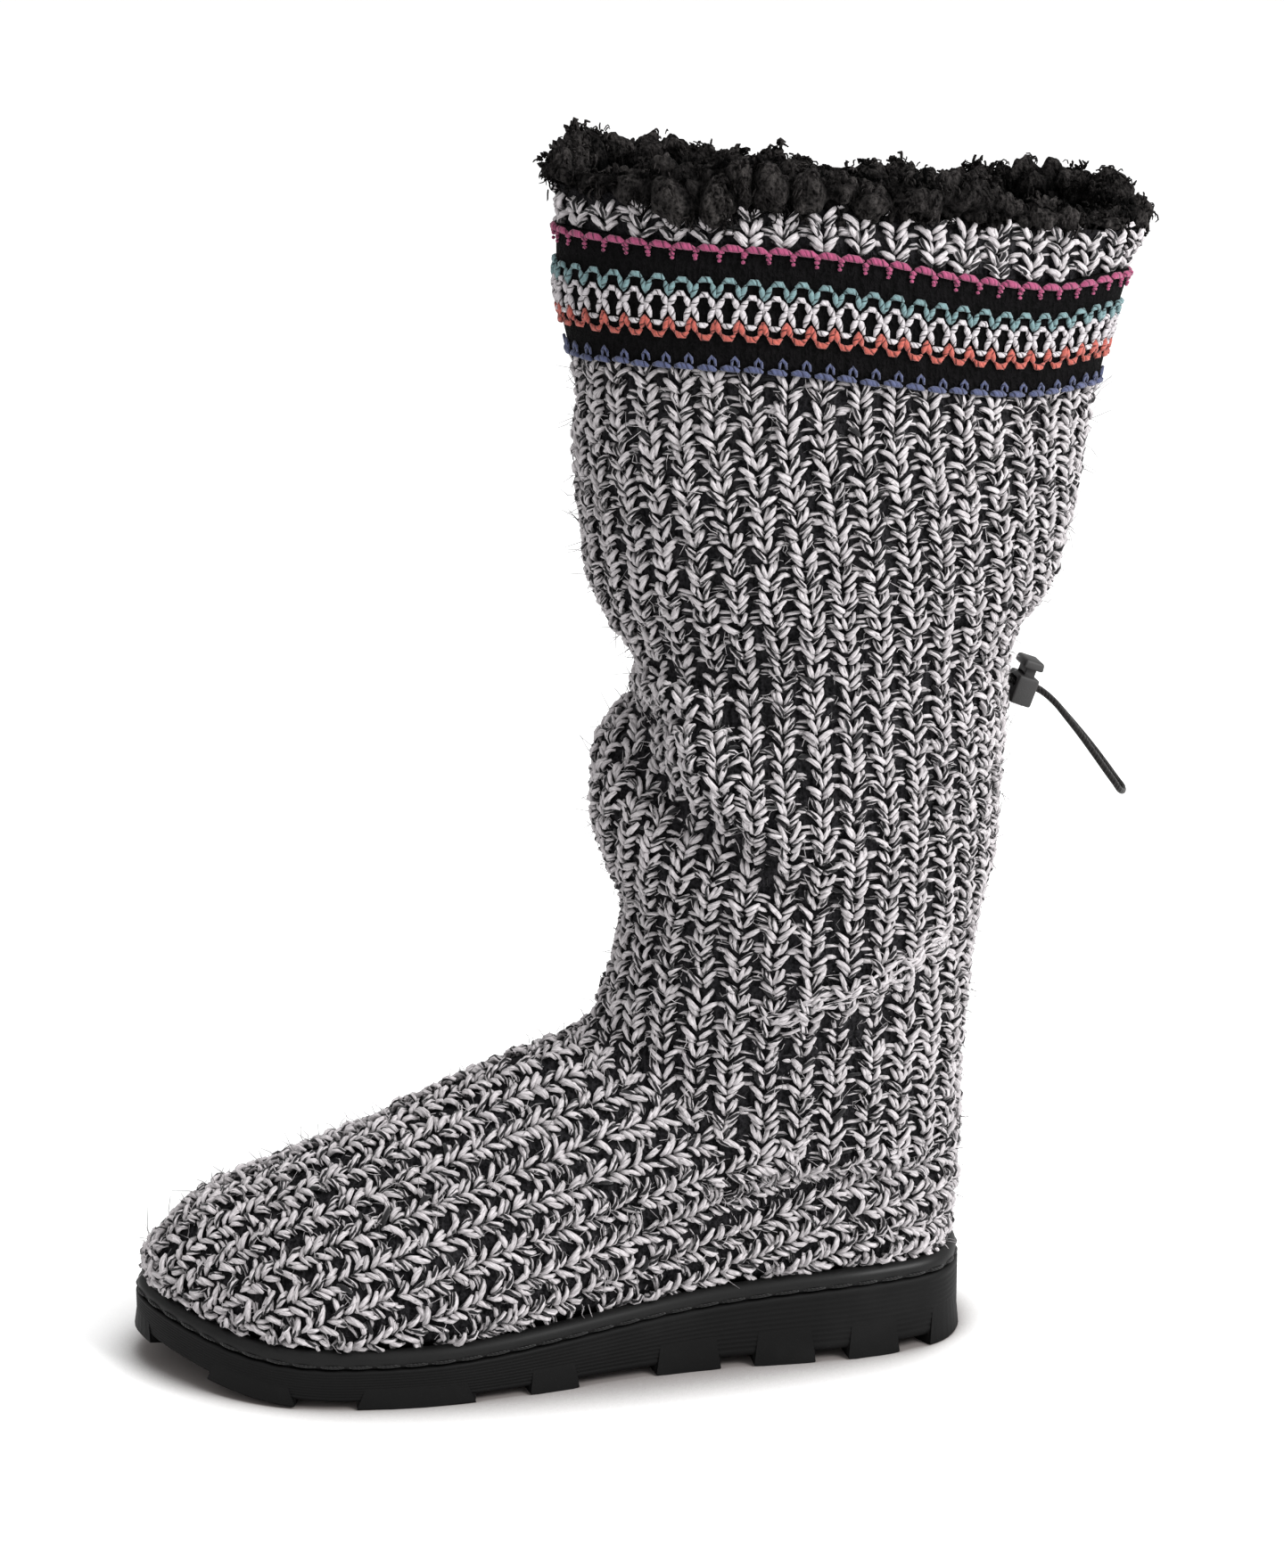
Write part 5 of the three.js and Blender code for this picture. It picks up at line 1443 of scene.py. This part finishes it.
# the wall's rings: inset in millimetres, and the share of the wall's height
MOULD_LINES, MOULD_LOW, MOULD_SPAN, MOULD_HALF, MOULD_DEEP = 9, 0.16, 0.7, 0.026, 0.2
wall_rings = [(1.3, 0.0), (0.35, 0.02), (0.0, 0.08)]
for line in range(MOULD_LINES):
    share = MOULD_LOW + MOULD_SPAN * line / (MOULD_LINES - 1)
    wall_rings += [(0.0, share - MOULD_HALF), (MOULD_DEEP, share), (0.0, share + MOULD_HALF)]
wall_rings += [(0.0, 0.94), (0.3, 0.985), (1.1, 1.0)]
wedge = bmesh.new()
wedge_loops = [
    outline_loop(wedge, inset, lambda x, share=share: tread_base(x) + share * (sole_top(x) - tread_base(x)))
    for inset, share in wall_rings
]
bridge_all(wedge, wedge_loops)
close_end(wedge, wedge_loops[0])
close_end(wedge, wedge_loops[-1])
stand_for(finish_mesh("sole_wedge", wedge, rubber), "outsole")

# %% Cleats
EDGE_CLEATS = [
    (0.012, 0.06), (0.1, 0.165), (0.205, 0.28), (0.32, 0.4), (0.495, 0.555), (0.62, 0.76), (0.83, 0.925),
]
MIDDLE_BARS = (0.13, 0.25, 0.37, 0.5, 0.62, 0.73, 0.84)
# how far in under the sole a cleat reaches, and the toe's; how far it stands out; how far up the wall it goes
CLEAT_REACH, TOE_REACH, CLEAT_PROUD, CLEAT_CLIMB = 21.0, 12.0, 0.9, 0.62
# under the sole: how far in a cleat starts, how far it goes up into the wedge, and its bevel
CLEAT_IN, CLEAT_LAP, CLEAT_BEVEL = 0.3, 0.8, 0.6
# on the wall: how far in a cleat goes, how far in its top starts, how much narrower that is, and its bevel
WALL_ROOT, WALL_TOP_IN, WALL_SLIM, WALL_BEVEL = 4.0, 0.35, 0.8, 0.5
TOE_CLEAT = 0.985
BAR_LONG, BAR_WIDE = 6.5, 13
outer_side, inner_side = OUTLINE[: HALF_ROUND + 1], OUTLINE[np.r_[0, AROUND - 1 : HALF_ROUND - 1 : -1]]


def outline_at(place_round, inset):
    """Points of the inset outline at fractional places round it."""
    loop = inset_outline(inset)
    low = np.floor(place_round).astype(int)
    share = (place_round - low)[:, None]
    return loop[low % AROUND] * (1 - share) + loop[(low + 1) % AROUND] * share


def bevelled(work, edges, offset, segments, **more):
    bmesh.ops.bevel(work, geom=edges, offset=offset, segments=segments, affect="EDGES", profile=0.5,
                    material=-1, **more)


def sharp_ones(edges):
    return [e for e in edges if len(e.link_faces) == 2 and e.calc_face_angle(0) > 0.6]


def block(work, base, top_of, bevel, top_plan=None):
    """A bevelled block on the floor: its plan, the height of its top at x, and the top's own plan."""
    ground = place(np.column_stack([base, floor_line(base[:, 0])]))
    corners = [work.verts.new(p) for p in ground]
    foot = work.faces.new(corners)
    raised = bmesh.ops.extrude_face_region(work, geom=[foot])["geom"]
    tops = [v for v in raised if isinstance(v, bmesh.types.BMVert)]
    for v in tops:
        if top_plan is not None:
            below = np.argmin(np.linalg.norm(ground[:, :2] - v.co.xy, axis=1))
            v.co.xy = place([(*top_plan[below], 0)])[0][:2]
        v.co.z = top_of(v.co.x / MM + HEEL_SHIFT) * MM
    sides = dict.fromkeys(e for v in corners + tops for e in v.link_edges)
    bevelled(work, sharp_ones(sides), bevel * MM, 2, clamp_overlap=True)


def cleat_top(x):
    return float(tread_base(x)) + CLEAT_LAP


def wall_height(x):
    return float(tread_base(x) + CLEAT_CLIMB * (sole_top(x) - tread_base(x)))


def places_at(x, side):
    """Places along one side of the outline where it is at x."""
    return np.interp(x, side[:, 0], np.arange(HALF_ROUND + 1))


def plan(span, outer_inset, inner_inset):
    """Corners between two insets of the outline, out along one and back along the other."""
    return np.concatenate([outline_at(span, outer_inset), outline_at(span[::-1], inner_inset)])


spans = []
for shares in EDGE_CLEATS:
    ends = SOLE_LENGTH * np.array(shares)
    spans.append(np.linspace(*places_at(ends, outer_side), 8))
    spans.append(np.linspace(*(AROUND - places_at(ends, inner_side)[::-1]), 8))
toe_x = TOE_CLEAT * SOLE_LENGTH
spans.append(np.linspace(places_at(toe_x, outer_side), AROUND - places_at(toe_x, inner_side), 10))
cleats = bmesh.new()
for span in spans:
    reach = TOE_REACH if span is spans[-1] else CLEAT_REACH
    block(cleats, plan(span, CLEAT_IN, reach), cleat_top, CLEAT_BEVEL)
    slim = span.mean() + WALL_SLIM * (span - span.mean())
    top_plan = plan(slim, WALL_TOP_IN, WALL_ROOT)
    block(cleats, plan(span, -CLEAT_PROUD, WALL_ROOT), wall_height, WALL_BEVEL, top_plan)
for x in SOLE_LENGTH * np.array(MIDDLE_BARS):
    middle = sum(np.interp(x, *side.T) for side in (outer_side, inner_side)) / 2
    back, front, inner, outer = x - BAR_LONG, x + BAR_LONG, middle - BAR_WIDE, middle + BAR_WIDE
    bar = np.array([(back, inner), (back, outer), (front, outer), (front, inner)])
    block(cleats, bar, cleat_top, CLEAT_BEVEL)
stand_for(finish_mesh("sole_cleats", cleats, rubber, smooth=False), "outsole")

# %% Insole
# in from the outline and up from the sole's edge, in millimetres, and the share of the fleece's clumps on top
INSOLE_RINGS = [(11.5, 0.5), (10.4, 1.4), (10.2, 2.8), (11.0, 3.8), (13.5, 4.4), (18.0, 4.7), (24.0, 4.5)]
PAD_CLUMPS = 0.4
footbed = bmesh.new()
bed_loops = loops_on_sole(footbed, INSOLE_RINGS)
bridge_all(footbed, bed_loops)
close_end(footbed, bed_loops[0])
close_end(footbed, bed_loops[-1])
bmesh.ops.recalc_face_normals(footbed, faces=footbed.faces)
for vertex in footbed.verts:
    if vertex.normal.z > 0.2:
        vertex.co.z += PAD_CLUMPS * clump_height(vertex.co)[0]
insole_pad = finish_mesh("insole_pad", footbed, lining)
stand_for(insole_pad, "insole")

# %% [markdown]
# ## The cord lock
# A small moulded barrel with a sprung button. Pressing the button lines up its slot with the barrel's hole,
# so the cord can slide. Both are boxes cut by planes: the face left in the middle of each side is opened and
# the two openings are bridged into a hole, then every edge is bevelled.

# %% Barrel and button
LOCK_MIDDLE = np.array((-17.2, 0.0, 206.5))
LOCK_TILT = math.radians(20)
LOCK_DEEP, LOCK_WIDE = 3.4, 5.6
HEAD_UP, HEAD_HALF = 5.55, 1.4


def in_lock(points):
    """Lock coordinates (deep, wide, up) in the shoe's own millimetres."""
    deep, wide, up = np.asarray(points, float).T
    x = deep * math.cos(LOCK_TILT) - up * math.sin(LOCK_TILT)
    z = deep * math.sin(LOCK_TILT) + up * math.cos(LOCK_TILT)
    return LOCK_MIDDLE + np.column_stack([x, wide, z])


def holed_box(work, deep, wide, low, high, hole_wide, hole_low, hole_high):
    """A box with a hole through its depth."""
    made = bmesh.ops.create_cube(work, size=2.0)["verts"]
    for v in made:
        v.co = (v.co.x * deep, v.co.y * wide, low + (high - low) * (v.co.z + 1) / 2)
    for where, way in (((0, 0, hole_low), (0, 0, 1)), ((0, 0, hole_high), (0, 0, 1)),
                       ((0, -hole_wide, 0), (0, 1, 0)), ((0, hole_wide, 0), (0, 1, 0))):
        everything = [*work.verts, *work.edges, *work.faces]
        bmesh.ops.bisect_plane(work, geom=everything, plane_co=where, plane_no=way)
    openings = []
    for f in work.faces:
        middle = f.calc_center_median()
        if abs(f.normal.x) > 0.9 and abs(middle.y) < hole_wide and hole_low < middle.z < hole_high:
            openings.append(f)
    edges = [e for f in openings for e in f.edges]
    bmesh.ops.delete(work, geom=openings, context="FACES_ONLY")
    bmesh.ops.bridge_loops(work, edges=edges)


def into_frame(work):
    for v in work.verts:
        v.co = place(in_lock([v.co]))[0]


barrel = bmesh.new()
holed_box(barrel, LOCK_DEEP, LOCK_WIDE, low=-6.1, high=3.0, hole_wide=2.9, hole_low=-1.35, hole_high=1.35)
bevelled(barrel, sharp_ones(barrel.edges), 0.75, 3, clamp_overlap=True)
into_frame(barrel)
stand_for(finish_mesh("lock_barrel", barrel, lock_plastic), "cord_lock_barrel")
button = bmesh.new()
holed_box(button, 1.7, 3.9, low=-2.55, high=5.7, hole_wide=2.95, hole_low=-1.35, hole_high=3.6)
bevelled(button, sharp_ones(button.edges), 0.3, 2, clamp_overlap=True)
head = bmesh.ops.create_cube(button, size=2.0)["verts"]
for v in head:
    squeeze = 0.92 if v.co.z > 0 else 1.0
    v.co = (v.co.x * LOCK_DEEP * squeeze, v.co.y * LOCK_WIDE * squeeze, HEAD_UP + HEAD_HALF * (v.co.z + 1))
bevelled(button, list(dict.fromkeys(e for v in head for e in v.link_edges)), 0.8, 3)
into_frame(button)
stand_for(finish_mesh("lock_button", button, lock_plastic), "cord_lock_plunger", body="plunger")
